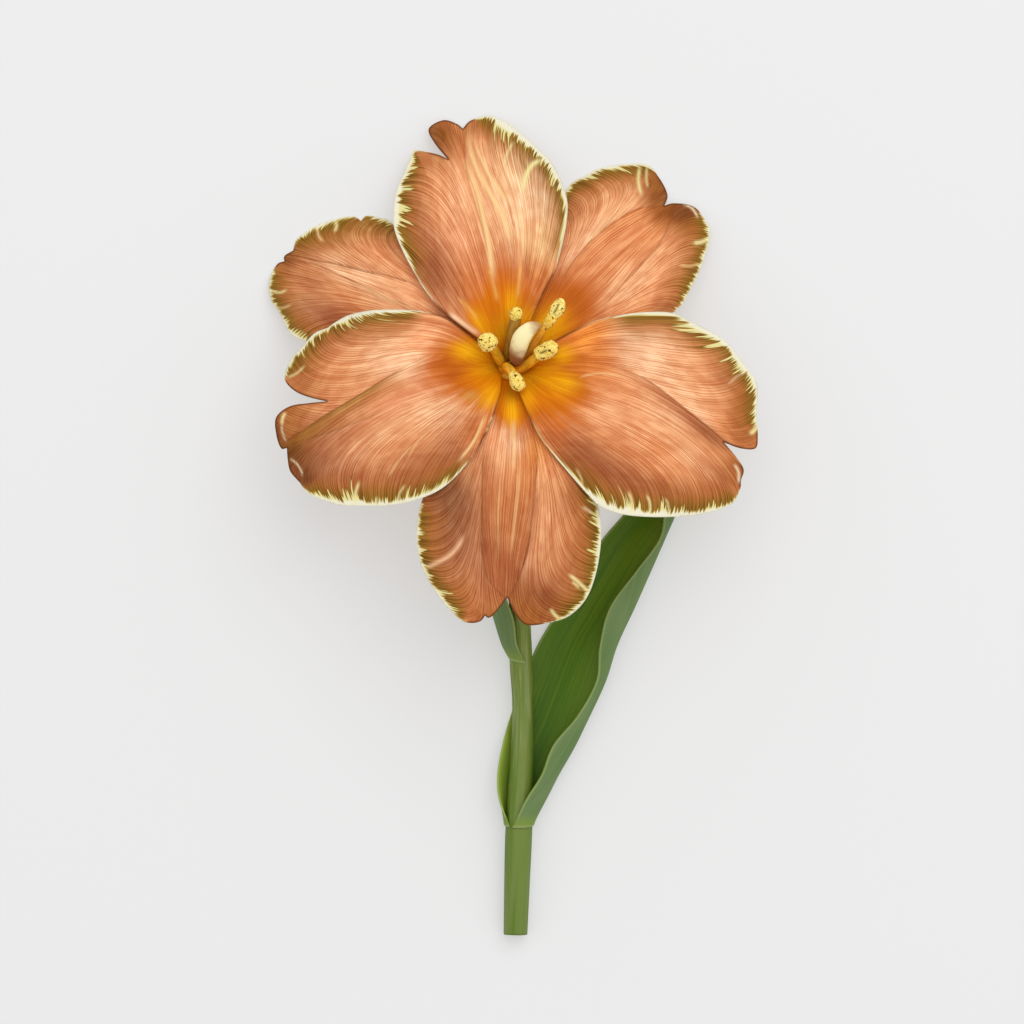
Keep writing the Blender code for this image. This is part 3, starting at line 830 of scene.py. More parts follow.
def petal_inner_skin():
    """The petal's inner face: veined salmon, gold at its root, with a feathered olive and cream margin."""
    skin, tree, shader = new_skin("petal_inner_skin")
    seed, flow, across, glow = (mark(tree, label) for label in ("seed", "flow", "across", "glow"))
    fine = combed_lines(tree, 0.25, seed)
    broad = combed_lines(tree, 1.3, plus(tree, seed, 31.0))
    teeth = combed_lines(tree, 0.42, plus(tree, seed, 57.0))
    tufts = combed_lines(tree, 2.2, plus(tree, seed, 83.0))
    threads = times(tree, vein_lines(tree, 0.68, 0.24, seed), ease(tree, glow, 0.8, 1.4))
    fine_share = ease(tree, fine, 0.34, 0.66)
    broad_share = ease(tree, broad, 0.30, 0.70)

    paint = mark(tree, "tone", "Vector")
    paint = mottled(tree, fine_share, paint, (0.91, 0.80, 0.73), (1.17, 1.28, 1.38))
    paint = blend_paint(tree, threads, paint, tinted(tree, paint, (0.72, 0.55, 0.43)))
    paint = mottled(tree, broad_share, paint, (0.95, 0.91, 0.88), (1.04, 1.08, 1.11))
    blotches = grain(tree, place3(tree, times(tree, flow, 0.45), across, seed), 0.42)
    paint = mottled(tree, ease(tree, blotches, 0.36, 0.64), paint, (0.93, 0.86, 0.82), (1.06, 1.13, 1.17))

    cloud = grain(tree, place3(tree, flow, across, seed), 0.14)
    wander = plus(tree, times(tree, broad, 0.40), times(tree, cloud, 0.5))
    glow_place = plus(tree, glow, less(tree, wander, 0.45))
    gold = mark(tree, "gold", "Vector")
    gold = mottled(tree, fine_share, gold, (0.93, 0.89, 0.85), (1.05, 1.11, 1.20))
    gold = mottled(tree, broad_share, gold, (0.96, 0.92, 0.88), (1.04, 1.08, 1.18))
    paint = blend_paint(tree, ease(tree, glow_place, 1.40, 0.80), paint, gold)

    # A painted shade line darkens each crease.
    in_crease = ease(tree, calc(tree, "ABSOLUTE", mark(tree, "fold")), 0.50, 0.05)
    paint = blend_paint(tree, times(tree, in_crease, mark(tree, "crease_shade")), paint, crease_shade_brown)

    edge, cream = mark(tree, "edge"), mark(tree, "cream")
    spikes = calc(tree, "POWER", ease(tree, teeth, 0.36, 0.72), 1.4)
    tuft = ease(tree, tufts, 0.40, 0.70)
    reach = times(tree, spikes, plus(tree, 0.9, times(tree, tuft, 2.1)))
    reach = plus(tree, reach, plus(tree, 0.46, times(tree, tuft, 0.7)))
    beyond = less(tree, edge, times(tree, cream, reach))
    has_cream = ease(tree, cream, 0.12, 0.65)
    brown_fade = plus(tree, 8.0, times(tree, ease(tree, tufts, 0.65, 0.35), 5.0))
    brown_share = times(tree, ease(tree, beyond, brown_fade, 0.2), has_cream)
    brown = blend_paint(tree, ease(tree, fine, 0.34, 0.68), *margin_browns)
    paint = blend_paint(tree, times(tree, brown_share, 0.86), paint, brown)
    olive_fade = plus(tree, 2.2, times(tree, ease(tree, teeth, 0.62, 0.36), 2.2))
    olive_fade = plus(tree, olive_fade, times(tree, ease(tree, tufts, 0.60, 0.40), 2.4))
    olive_share = times(tree, ease(tree, beyond, olive_fade, 0.0), has_cream)
    olive = blend_paint(tree, ease(tree, fine, 0.35, 0.68), *margin_olives)
    paint = blend_paint(tree, times(tree, olive_share, 0.85), paint, olive)
    yellow_share = times(tree, ease(tree, beyond, 0.55, -0.15), has_cream)
    paint = blend_paint(tree, times(tree, yellow_share, 0.85), paint, margin_yellow)
    whiteness = ease(tree, less(tree, edge, times(tree, cream, 0.9)), 0.6, -0.5)
    cream_paint = blend_paint(tree, whiteness, *margin_creams)
    paint = blend_paint(tree, ease(tree, beyond, 0.10, -0.40), paint, cream_paint)
    # A thin brown along bare rims, away from the heart: the rims' own brown, and painted shade where an edge
    # lies over the next petal.
    bare_rim_shade = times(tree, ease(tree, edge, 0.8, 0.1), ease(tree, cream, 0.2, 0.02))
    bare_rim_shade = times(tree, bare_rim_shade, ease(tree, glow, 0.4, 1.3))
    paint = blend_paint(tree, times(tree, bare_rim_shade, 0.85), paint, bare_rim_brown_and_shade)

    streak = times(tree, mark(tree, "streak"), plus(tree, 0.75, times(tree, fine, 0.5)))
    paint = blend_paint(tree, streak, paint, mark(tree, "streak_paint", "Vector"))
    coat(tree, shader, paint, 0.60, 0.06)
    relief_from(tree, shader, plus(tree, fine, times(tree, broad, 0.5)), 0.00022)
    return skin


def petal_outer_skin():
    """The petal's outer face: paler and duller, with a green flame up its middle."""
    skin, tree, shader = new_skin("petal_outer_skin")
    lines = combed_lines(tree, 0.45, mark(tree, "seed"))
    paint = blend_paint(tree, ease(tree, lines, 0.32, 0.68), *back_peaches)
    flame = plus(tree, calc(tree, "ABSOLUTE", mark(tree, "across")), times(tree, lines, 6.0))
    paint = blend_paint(tree, times(tree, ease(tree, flame, 9.5, 4.5), 0.75), paint, back_flame_green)
    paint = blend_paint(tree, ease(tree, mark(tree, "glow"), 0.9, 0.2), paint, back_root_green)
    beyond = less(tree, mark(tree, "edge"), times(tree, mark(tree, "cream"), 1.3))
    paint = blend_paint(tree, ease(tree, beyond, 0.5, -0.4), paint, back_margin_cream)
    coat(tree, shader, paint, 0.55, 0.25)
    relief_from(tree, shader, lines, 0.00025)
    return skin


petal_skins = [petal_inner_skin(), petal_outer_skin()]


def petal_sheet(rim, folds):
    """A fine even sheet of points and faces inside a rim, with a close pair of rows along each fold."""
    low, high = rim[:, :2].min(axis=0), rim[:, :2].max(axis=0)
    grid = []
    for k, y in enumerate(np.arange(low[1], high[1], grid_step * math.sqrt(3) / 2)):
        shift = 0.5 * grid_step * (k % 2)
        grid.extend((x, y) for x in np.arange(low[0] + shift, high[0], grid_step))
    grid = np.array(grid)
    for line, *_ in folds:
        path = even_steps(smooth_curve(line, 12), rim_step)
        ahead = np.gradient(path, axis=0)
        aside = np.column_stack([-ahead[:, 1], ahead[:, 0]]) / np.linalg.norm(ahead, axis=1)[:, None]
        off, _ = beside(grid[:, 0], grid[:, 1], line)
        pair = (path + fold_half_width * aside, path - fold_half_width * aside)
        grid = np.vstack([grid[np.abs(off) > fold_clearance], *pair])
    gap, _, inside = from_rim(grid[:, 0], grid[:, 1], rim)
    grid = grid[inside & (gap > rim_clearance)]
    flat = [Vector(p) for p in rim[:, :2]] + [Vector(p) for p in grid]
    corners, _, faces, _, _, _ = delaunay_2d_cdt(flat, [], [list(range(len(rim)))], 1, 1e-5)
    corners = np.array([tuple(corner) for corner in corners])
    return corners[:, 0], corners[:, 1], faces


def laid_over(paint, share, colour):
    """The colour at each point with another one laid over it by a share."""
    return paint + share[:, None] * (np.array(colour) - paint)


def patched(paint, patches, x, y):
    """The colour at each point with soft oval patches laid over it, one after another."""
    for colour, strength, centre, size, angle in patches:
        paint = laid_over(paint, strength * np.exp(-oval(x, y, centre, size, angle) ** 2), colour)
    return paint


def make_petal(node, form):
    """One petal: a fine sheet inside its rim, raised to its shape, marked for its skin and thickened."""
    seams = form["seams"]
    folds = [(seams[line] if isinstance(line, int) else line, *rest) for line, *rest in form["folds"]]
    rim = petal_rim(form["rim"])
    root_radius = whorl_root[form["whorl"]]
    root_turns = np.radians(np.linspace(root_half_angle, -root_half_angle, 9))
    root_angles = math.radians(form["direction"]) + root_turns
    root = [(root_radius * math.cos(a), root_radius * math.sin(a), 0.0) for a in root_angles]
    x, y, faces = petal_sheet(np.vstack([rim, root]), folds)

    edge, cream, _ = from_rim(x, y, rim)
    t, across, _ = petal_places(x, y, form)
    along = t * form["reach"]
    fields = [vein_field(form, drawn) for drawn in form["veins"]]
    fields = (fields + fields[-1:])[:3]
    shapes = vein_shapes(x, y, form)
    veins = np.column_stack([shapes @ field + vein_gap_at_seams * part for part, field in enumerate(fields)])
    closeness = np.column_stack([crowding(x, y, form, field) for field in fields])
    creases = np.full((len(x), 3), short_of_creases)
    for part, line in enumerate(seams):
        creases[:, part] = beside(x, y, line)[0]
    vein = veins[np.arange(len(x)), (creases > 0).sum(axis=1)]

    z = petal_height(x, y, form)
    inward = 1 - np.exp(-edge / pleat_reach)
    ruffle, pleat = np.zeros(len(x)), np.zeros(len(x))
    for i in range(len(x)):
        ruffle[i] = noise.noise(Vector((x[i] * ruffle_scale, y[i] * ruffle_scale, form["seed"])))
        pleat[i] = noise.noise(Vector((vein[i] * 0.22, along[i] * 0.02, form["seed"])))
    z = z + form["ruffle"] * soft_step(0.35, 0.9, t) * ruffle * np.exp(-edge / ruffle_reach)
    z = z + pleat_depth * soft_step(0.12, 0.5, t) * pleat * (1 - 0.4 * inward)

    # Patches give each petal its own tones, and also painted shade and painted highlights.
    tone = patched(np.array(form["tone"]) * np.ones((len(x), 1)), form["patches"], x, y)
    glow = oval(x, y, *form["glow"])
    gold = np.column_stack([np.interp(glow, gold_places, channel) for channel in zip(*form["gold"])])
    gold = patched(gold, form["gold_patches"], x, y)

    fold = np.full(len(x), clear_of_folds)
    crease_shade_share = np.zeros(len(x))
    # Each fold lifts one side and paints it darker, as painted shade, and the other side lighter, as painted
    # highlight.
    for line, start, lift, fade, shade, strength, light in folds:
        gap, place = beside(x, y, line)
        ends = soft_step(start, start + fold_start_fade, place) * (1 - 0.4 * soft_step(0.9, 1.0, place))
        raised = np.where(gap * lift > 0, np.exp(-np.abs(gap) / fade), 0.0)
        z = z + raised * abs(lift) * ends
        lit = np.where(gap * lift < 0, np.exp(-np.abs(gap) / (2.2 * fade)), 0.0)
        lit = lit * light * ends * (1 - 0.85 * soft_step(0.82, 0.96, place))
        tone = laid_over(tone, raised * shade * ends, form["fold_shade_paint"])
        tone = laid_over(tone, lit, pale_peach_and_highlight)
        nearer = np.abs(gap) < np.abs(fold)
        fold = np.where(nearer, gap, fold)
        crease_shade_share = np.where(nearer, strength * ends, crease_shade_share)

    # Streaks are the petals' own pale streaks, with painted glints on the gold and painted highlights on
    # curled lips.
    streak = np.zeros(len(x))
    streak_paint = np.array(cream_peach) * np.ones((len(x), 1))
    for colour, line, width, strength in form["streaks"]:
        gap, place = beside(x, y, line)
        taper = np.clip(np.minimum(place * streak_taper, (1 - place) * streak_taper + 0.2), 0, 1)
        share = strength * taper * np.exp(-(gap / width) ** 2)
        streak_paint = np.where((share > streak)[:, None], np.array(colour), streak_paint)
        streak = np.maximum(streak, share)

    z = rest_height + rest_softness * np.logaddexp(0, (z - rest_height) / rest_softness)
    piece = grown_piece(
        node + "_grown", np.column_stack([x, y, z]), faces, node, petal_skins,
        dict(
            veins=veins, crowding=closeness, creases=creases, across=across, flow=along, edge=edge,
            cream=cream, tone=tone, glow=glow, gold=gold, fold=fold, crease_shade=crease_shade_share, streak=streak,
            streak_paint=streak_paint, seed=np.full(len(x), form["seed"] * 7.0),
        ),
    )
    thicken(piece, petal_thickness, petal_thinnest, edge / thinning_width)


# A petal's rim is drawn in runs that meet at its corners, with points (x, y, cream width). Seams are the
# creases between the parts of its vein field, and each part has a few drawn veins, (number, points). Patches
# are (colour, strength, centre, size, angle), with painted shade and painted highlights among the petal's
# own tones. Folds are (seam or points, start, lift, fade, shade, crease shade, light), where shade and light
# are the painted shade and painted highlight either side of the fold, and streaks (colour, points, width,
# strength).
outer_petal_right = dict(
    whorl="outer", direction=44.0, reach=72.0, half_width=(25.0, 25.0), arch=(2.0, 2.0), bow=0.0,
    droop=9.5, turn_down=2.0, glow=((11, 11), (17, 9.5), 45), ruffle=1.6, seed=1.7,
    rim=(
        (
            (9, 1.5, 0), (30, 5, 0), (49, 15.5, 0.3), (54.7, 23, 0.6), (59.1, 32.8, 0.8),
            (60.9, 41, 1), (59.2, 44.3, 0.6), (57, 47.5, 0.2), (54, 49, 0), (49.5, 49.3, 0),
            (47, 48.5, 0),
        ),
        (
            (47, 48.5, 0), (48, 51.5, 0), (46.9, 54.8, 0), (45, 57.8, 0.1), (43, 60.5, 0.5),
            (39, 61.5, 0.9), (28.8, 60.4, 0.9), (23.1, 57.8, 0.8), (17.7, 53.9, 0.6), (9, 38, 0.3),
            (4, 14, 0),
        ),
    ),
    seams=(
        ((3, 0), (27.5, 17.5), (35, 25.5), (41, 32), (45, 36.5), (47.5, 41), (49.5, 46)),
        ((0, 2), (16, 26.5), (22.5, 35), (27.5, 40), (33.5, 44.5), (39, 47.5), (46.5, 48.5)),
    ),
    veins=(
        (
            (0, ((27.5, 17), (36, 25.5), (42, 32), (46, 36.5), (50.5, 40.5), (56, 43), (59.5, 43.5))),
            (9, ((29.5, 16.5), (37.5, 23.5), (43.5, 28), (49, 30.5), (54, 31.5), (58.5, 33))),
            (14, ((31, 16), (39, 20.5), (45.5, 23.5), (51, 25), (55.5, 26.5))),
            (22, ((33, 15), (41, 16), (46, 17), (50.5, 16.5))),
        ),
        (
            (0, ((16, 26.5), (22.5, 35), (27.5, 40), (33.5, 44.5), (39, 47.5), (43.5, 48.5), (46.5, 48.5))),
            (5, ((21, 25), (29, 33), (36.5, 40), (43, 45), (49, 48))),
            (10, ((27.5, 17.5), (35, 25.5), (41, 32), (45, 36.5), (48, 41), (51, 46.5))),
        ),
        (
            (-2, ((23, 34.5), (34, 44.5), (41, 47.5), (45.5, 49.5), (47, 52.5))),
            (5, ((21.5, 33), (32, 43.5), (36.5, 47.5), (37.5, 51.5), (36, 58.5))),
            (15, ((19.5, 32), (23.5, 39.5), (25.5, 44.5), (25, 49.5), (23, 54.5))),
            (20, ((17.5, 31.5), (19.5, 38.5), (20, 44.5), (18.5, 49), (18, 52))),
        ),
    ),
    tone=(0.790, 0.300, 0.115),
    patches=(
        (rust, 0.85, (20, 21), (8, 7), 40), (pale_peach_and_highlight, 0.50, (35, 24), (14, 5), 38),
        (pale_peach_and_highlight, 0.35, (23, 38), (12, 3), 48), (pale_peach_and_highlight, 0.30, (34, 52), (9, 5), 30),
        (salmon, 0.50, (30, 34), (14, 3), 42), (rust, 0.35, (26, 15), (7, 4), 25),
        (tip_brown_and_shade, 0.80, (56, 44), (7, 6), 0), (tip_brown_and_shade, 0.90, (46, 53), (4, 8), 0),
        (mauve_brown_and_shade, 0.60, (47, 16), (6, 5), 40), (mauve_brown_and_shade, 0.40, (54, 32), (10, 5), 65),
        (mauve_brown_and_shade, 0.35, (19, 47), (7, 4), 60), (rust, 0.30, (11, 26), (7, 4), 65),
        (dark_tip_and_shade, 0.85, (56, 47), (4, 2.5), 150), (dark_tip_and_shade, 0.70, (48, 51), (1.8, 4), 15),
        (red_rust, 0.50, (14, 25), (6, 4), 60), (red_rust, 0.85, (20, 18), (7, 5), 15),
        (hot_orange, 0.50, (19, 9), (6, 4), 20), (tip_brown_and_shade, 0.95, (52, 45), (10, 5), -30),
        (deep_brown_and_shade, 0.70, (53, 47), (7, 3), -30), (tip_brown_and_shade, 0.60, (44, 51), (4, 6), 20),
        (deep_brown_and_shade, 0.50, (46, 53), (3, 6), 15), (dark_tip_and_shade, 0.40, (45.5, 53), (3, 7), 15),
        (dark_tip_and_shade, 0.60, (50.5, 46.5), (6, 3), -10), (dark_tip_and_shade, 0.60, (45.5, 56.5), (2.4, 6), 18),
        (tip_brown_and_shade, 0.70, (44, 55), (4, 7), 15),
    ),
    fold_shade_paint=rust,
    folds=((1, 0.35, -0.6, 2.8, 0.35, 0.25, 0.50), (0, 0.40, 0.5, 2.2, 0.20, 0.25, 0.30)),
    gold=rust_heart,
    gold_patches=(
        (orange, 0.4, (8, 20), (5, 4), 60), (bright_gold, 0.9, (10, 10), (6, 4), 40),
        (red_rust, 0.75, (20, 19), (8, 5), -45),
    ),
    streaks=(
        (cream_yellow, ((39.6, 61), (39.2, 56), (40, 51.5)), 0.50, 0.85),
        (cream_yellow, ((41.8, 61), (41.6, 57), (42, 54)), 0.35, 0.70),
        (cream_yellow, ((60.4, 38.5), (58, 37.4), (55.6, 37)), 0.60, 0.90),
        (cream_peach, ((57.5, 31), (54.5, 30), (51, 30.2)), 0.35, 0.60),
        (lip_highlight, ((52.4, 49.2), (54.8, 48.2), (56.4, 46.4), (57, 44.8)), 0.34, 0.95),
        (cream_peach, ((22, 35.5), (28, 41.5), (34, 46.5), (37, 49)), 0.30, 0.45),
    ),
)
outer_petal_bottom = dict(
    whorl="outer", direction=269.6, reach=78.0, half_width=(27.0, 27.0), arch=(1.8, 1.8), bow=0.0,
    droop=7.5, turn_down=2.5, glow=((1, -7.5), (12, 6.5), 90), ruffle=1.6, seed=2.9,
    rim=(
        (
            (-5, -6.5, 0), (-12, -15, 0), (-20.5, -29, 0), (-26, -41, 0.3), (-27.5, -50, 1),
            (-27, -56.5, 0.9), (-25.3, -62, 0.9), (-20.6, -69.7, 1), (-14.8, -75.8, 0.5),
            (-11.5, -77, 0), (-8.5, -76.5, 0), (-7.1, -74.8, 0),
        ),
        ((-7.1, -74.8, 0), (-6, -75.5, 0), (-4, -74, 0), (-0.5, -69.5, 0)),
        (
            (-0.5, -69.5, 0), (0.6, -71.8, 0), (2.2, -74.8, 0), (5.5, -77.6, 0), (12.5, -76.8, 0.2),
            (18, -74.8, 0.7), (22.8, -70, 0.8), (25.7, -63, 0.9), (27.3, -54, 1),
            (27.2, -46, 1), (25.5, -40, 0.8), (18, -26, 0), (5.5, -6.5, 0),
        ),
    ),
    seams=(
        ((-2, 0), (-7, -22.5), (-8, -34.5), (-8, -46.5), (-8, -55.5), (-6.5, -63.5), (-2, -69)),
        ((2.5, 0), (8, -24.5), (8, -34.5), (7, -44), (5.5, -55.5), (2.5, -64.5), (0, -69.5)),
    ),
    veins=(
        (
            (-4, ((-7, -24.5), (-8, -43.5), (-8, -55), (-7.5, -62), (-10, -70.5), (-11.5, -75.5))),
            (0, ((-7, -22.5), (-8, -37.5), (-8.5, -46.5), (-10.5, -53.5), (-14, -61.5), (-17, -70.5))),
            (10, ((-5.5, -20), (-8, -31), (-11, -39.5), (-16, -46), (-25.5, -51.5))),
            (19, ((-5, -17.5), (-10, -25), (-16, -32), (-21.5, -36.5), (-26, -40.5))),
        ),
        (
            (0, ((-7, -22.5), (-8, -34.5), (-8, -46.5), (-8, -55.5), (-6.5, -63.5), (-2.5, -69.5))),
            (7, ((1, -13.5), (0.5, -28.5), (-0.5, -40.5), (-1, -52.5), (-1.5, -61.5), (-1, -70))),
            (14, ((8, -24.5), (8, -34.5), (7, -44), (5.5, -55.5), (2.5, -64.5), (-0.5, -70))),
        ),
        (
            (0, ((8, -24.5), (8, -37.5), (7, -47.5), (5.5, -57.5), (4.5, -64.5), (6.5, -71.5),
                (9.5, -76.5))),
            (10, ((10, -24.5), (11, -36.5), (11.5, -47.5), (13.5, -55.5), (17.5, -61.5), (22.5, -66.5))),
            (15, ((10.5, -24.5), (13.5, -35.5), (16, -44.5), (19, -51.5), (23, -56.5), (26.5, -59.5))),
            (24, ((12.5, -25), (17.5, -32.5), (23, -38.5), (27, -43))),
        ),
    ),
    tone=(0.590, 0.205, 0.072),
    patches=(
        (pale_peach_and_highlight, 0.85, (-3, -20), (9, 6), 90), (salmon, 0.70, (1, -27), (9, 8), 90),
        (mauve_brown_and_shade, 0.90, (-19, -39), (13, 8), 110), (deep_brown_and_shade, 0.95, (-18, -38), (11, 6), 115),
        (deep_brown_and_shade, 0.80, (-17, -50), (11, 6), 90), (mauve_brown_and_shade, 0.70, (-15, -55), (10, 8), 80),
        (mauve_brown_and_shade, 0.60, (-7, -60), (13, 4), 90), (mauve_brown_and_shade, 0.30, (-25, -48), (8, 4), 90),
        (mauve_brown_and_shade, 0.95, (12, -71), (10, 7), 150), (deep_brown_and_shade, 0.50, (11, -72), (9, 6), 150),
        (mauve_brown_and_shade, 0.60, (1, -63), (8, 5), 90), (salmon, 0.55, (11, -42), (13, 5), 80),
        (salmon, 0.35, (12, -32), (8, 5), 70), (orange, 0.35, (7, -30), (9, 7), 90),
        (rust, 0.85, (7, -18), (5, 3), 80), (orange, 0.60, (10, -23), (7, 3), 75),
        (highlight_peach, 0.70, (1, -21), (6, 3), 90), (bright_salmon, 0.60, (-5, -22), (5, 3), 90),
        (tip_brown_and_shade, 0.85, (6, -75.5), (8, 6), 0), (tip_brown_and_shade, 0.60, (-6, -75), (5, 4), 0),
        (tip_brown_and_shade, 0.50, (3, -71), (5, 3), 90), (mauve_brown_and_shade, 0.45, (21, -40), (6, 5), 60),
        (mauve_brown_and_shade, 0.40, (21, -60), (8, 6), 100), (salmon, 0.30, (-19, -64), (5, 4), 60),
    ),
    fold_shade_paint=mauve_brown_and_shade,
    folds=((0, 0.25, 0.4, 3.0, 0.30, 0.20, 0.20), (1, 0.25, -0.5, 2.4, 0.40, 0.40, 0.35)),
    gold=bright_heart,
    gold_patches=(
        (olive_gold, 0.5, (0, -8), (4, 2.5), 90), (bright_gold, 0.75, (1, -14), (5, 2.5), 90),
        (deep_gold, 0.85, (7, -12), (4.5, 3), 80), (deep_gold, 0.70, (-5, -12), (3.5, 3), 100),
    ),
    streaks=(
        (pale_peach_and_highlight, ((-25.6, -61.2), (-18.6, -57.8), (-15.2, -54.4), (-13.4, -51)), 0.70, 0.75),
        (cream_yellow, ((17.4, -62.4), (20.6, -65), (24, -68.2)), 0.50, 0.95),
        (cream_yellow, ((18.6, -64.6), (20.8, -66.8)), 0.40, 0.70),
        (cream_yellow, ((12, -72.6), (13.8, -74.8), (15.6, -76.6)), 0.45, 0.85),
        (cream_peach, ((1.4, -16), (1.6, -24), (1.4, -32)), 0.60, 0.55),
        (cream_peach, ((2.6, -30), (2.4, -40), (0.8, -56)), 0.50, 0.35),
        (cream_peach, ((-2.6, -32), (-3.2, -44), (-3, -58)), 0.35, 0.25),
        (lip_highlight, ((24.8, -44.6), (21.8, -42.6)), 0.40, 0.60),
    ),
)
outer_petal_left = dict(
    whorl="outer", direction=152.0, reach=74.0, half_width=(24.0, 22.0), arch=(2.0, 2.0), bow=0.0,
    droop=17.0, turn_down=2.0, glow=((-4, 3), (14, 8), 150), ruffle=1.4, seed=4.3,
    rim=(
        (
            (-6, 8.5, 0), (-20, 30, 0.3), (-35.4, 43.3, 0.5), (-38.5, 44.8, 0.5),
            (-43, 45.7, 0.4), (-44.9, 44.1, 0.2),
        ),
        (
            (-44.9, 44.1, 0.2), (-46.5, 45.3, 0.3), (-50, 45.3, 0.6), (-57.7, 43, 1),
            (-64, 38.9, 0.6), (-65.4, 35.1, 0),
        ),
        ((-65.4, 35.1, 0), (-68, 33.5, 0), (-68, 31.8, 0)),
        (
            (-68, 31.8, 0), (-70.3, 30.8, 0), (-72.6, 26, 0.8), (-72.1, 20.3, 0.6), (-69.6, 16.5, 0.7),
            (-66.2, 10.1, 0.9), (-61.5, 7.2, 0.8), (-48, 2, 0), (-28, -1, 0), (-8, -1, 0),
        ),
    ),
    seams=(
        ((-3, 1), (-25.5, 22), (-33, 26), (-43, 28.5), (-50.5, 30.5), (-58, 32), (-64, 33.5)),
        ((-2, 0), (-28, 16.5), (-36.5, 20), (-44, 24), (-50.5, 27), (-58, 30.5), (-67, 32)),
    ),
    veins=(
        (
            (0, ((-25, 22), (-41, 28), (-53, 31.5), (-59, 33.5), (-62, 36), (-62.5, 39))),
            (10, ((-23, 18), (-35, 26.5), (-44, 30.5), (-49.5, 34.5), (-51, 38.5), (-50.5, 43))),
            (15, ((-21.5, 16.5), (-32, 25.5), (-39.5, 31), (-43.5, 35.5), (-44.5, 40), (-44, 43))),
            (24, ((-19, 14.5), (-25, 22.5), (-29.5, 30), (-33, 36.5), (-34.5, 42))),
        ),
        (
            (0, ((-25.5, 22), (-33, 26), (-43, 28.5), (-50.5, 30.5), (-58, 32), (-64, 33))),
            (4, ((-23, 18.5), (-33, 23), (-43, 26), (-52, 29), (-59, 31.5), (-65.5, 32.5))),
            (8, ((-28, 16.5), (-36.5, 20), (-44, 24), (-50.5, 27), (-58, 30.5), (-66.5, 32))),
        ),
        (
            (0, ((-28, 16.5), (-40.5, 21.5), (-49, 26), (-55.5, 29), (-61.5, 31), (-67, 30.5))),
            (8, ((-30, 16), (-42.5, 18.5), (-51.5, 20.5), (-58, 23), (-64, 23.5), (-71, 21.5))),
            (16, ((-33, 14.5), (-45, 16), (-54, 15.5), (-61, 14), (-66.5, 11.5))),
        ),
    ),
    tone=(0.790, 0.320, 0.125),
    patches=(
        (pale_peach_and_highlight, 0.50, (-47, 28), (14, 4), 155), (mauve_brown_and_shade, 0.95, (-53, 14), (11, 6), 160),
        (pale_peach_and_highlight, 0.50, (-31, 18), (11, 7), 155), (rose, 0.30, (-38, 34), (13, 6), 150),
        (tip_brown_and_shade, 0.75, (-69, 29), (6, 6), 0), (tip_brown_and_shade, 0.75, (-64, 36), (6, 5), 0),
        (bright_salmon, 0.75, (-27, 21), (10, 7), 140), (mauve_brown_and_shade, 0.45, (-61, 26), (8, 4), 160),
        (pale_peach_and_highlight, 0.40, (-63, 17), (5, 4), 0), (mauve_brown_and_shade, 0.30, (-53, 37), (8, 4), 160),
        (dark_tip_and_shade, 0.70, (-67, 32.5), (2.5, 2), 0), (dark_tip_and_shade, 0.60, (-64, 37.5), (2.2, 2.8), 0),
        (dark_tip_and_shade, 0.40, (-45.5, 44), (2.5, 1.5), 0), (olive_brown, 0.90, (-38, 43), (10, 4.6), 5),
        (olive_brown, 0.90, (-53, 42), (12, 4.4), 20), (olive_brown, 0.60, (-71, 25), (3, 6), 0),
        (olive_brown, 0.50, (-66, 12), (3, 8), -30), (mauve_brown_and_shade, 0.55, (-62, 13), (5, 8), -30),
    ),
    fold_shade_paint=mauve_brown_and_shade,
    folds=((0, 0.30, -0.4, 2.2, 0.20, 0.30, 0.20), (1, 0.30, 0.5, 2.4, 0.30, 0.35, 0.25)),
    gold=rust_heart,
    gold_patches=(),
    streaks=(
        (cream_yellow, ((-52.6, 44.4), (-52.2, 42.4), (-52.8, 40.6)), 0.50, 0.80),
        (cream_peach, ((-58.2, 42.2), (-57.6, 39.4), (-56.2, 37.6)), 0.40, 0.70),
        (cream_yellow, ((-72, 22.6), (-69, 22.2), (-67, 23)), 0.35, 0.80),
        (cream_peach, ((-71, 17.6), (-68, 17.6), (-65.6, 18.4)), 0.35, 0.60),
        (cream_peach, ((-24, 15.5), (-36, 19.6), (-46, 25)), 0.30, 0.40),
    ),
)
make_petal("outer_petal_right", outer_petal_right)
make_petal("outer_petal_bottom", outer_petal_bottom)
make_petal("outer_petal_left", outer_petal_left)


# ---- Inner petals --------------------------------------------------------------------------------
# Three petals of the inner whorl, which lie over the outer ones. They are the same thin skin, brighter where
# they rise to the light, with wider cream margins and gold that spreads far out from their roots.

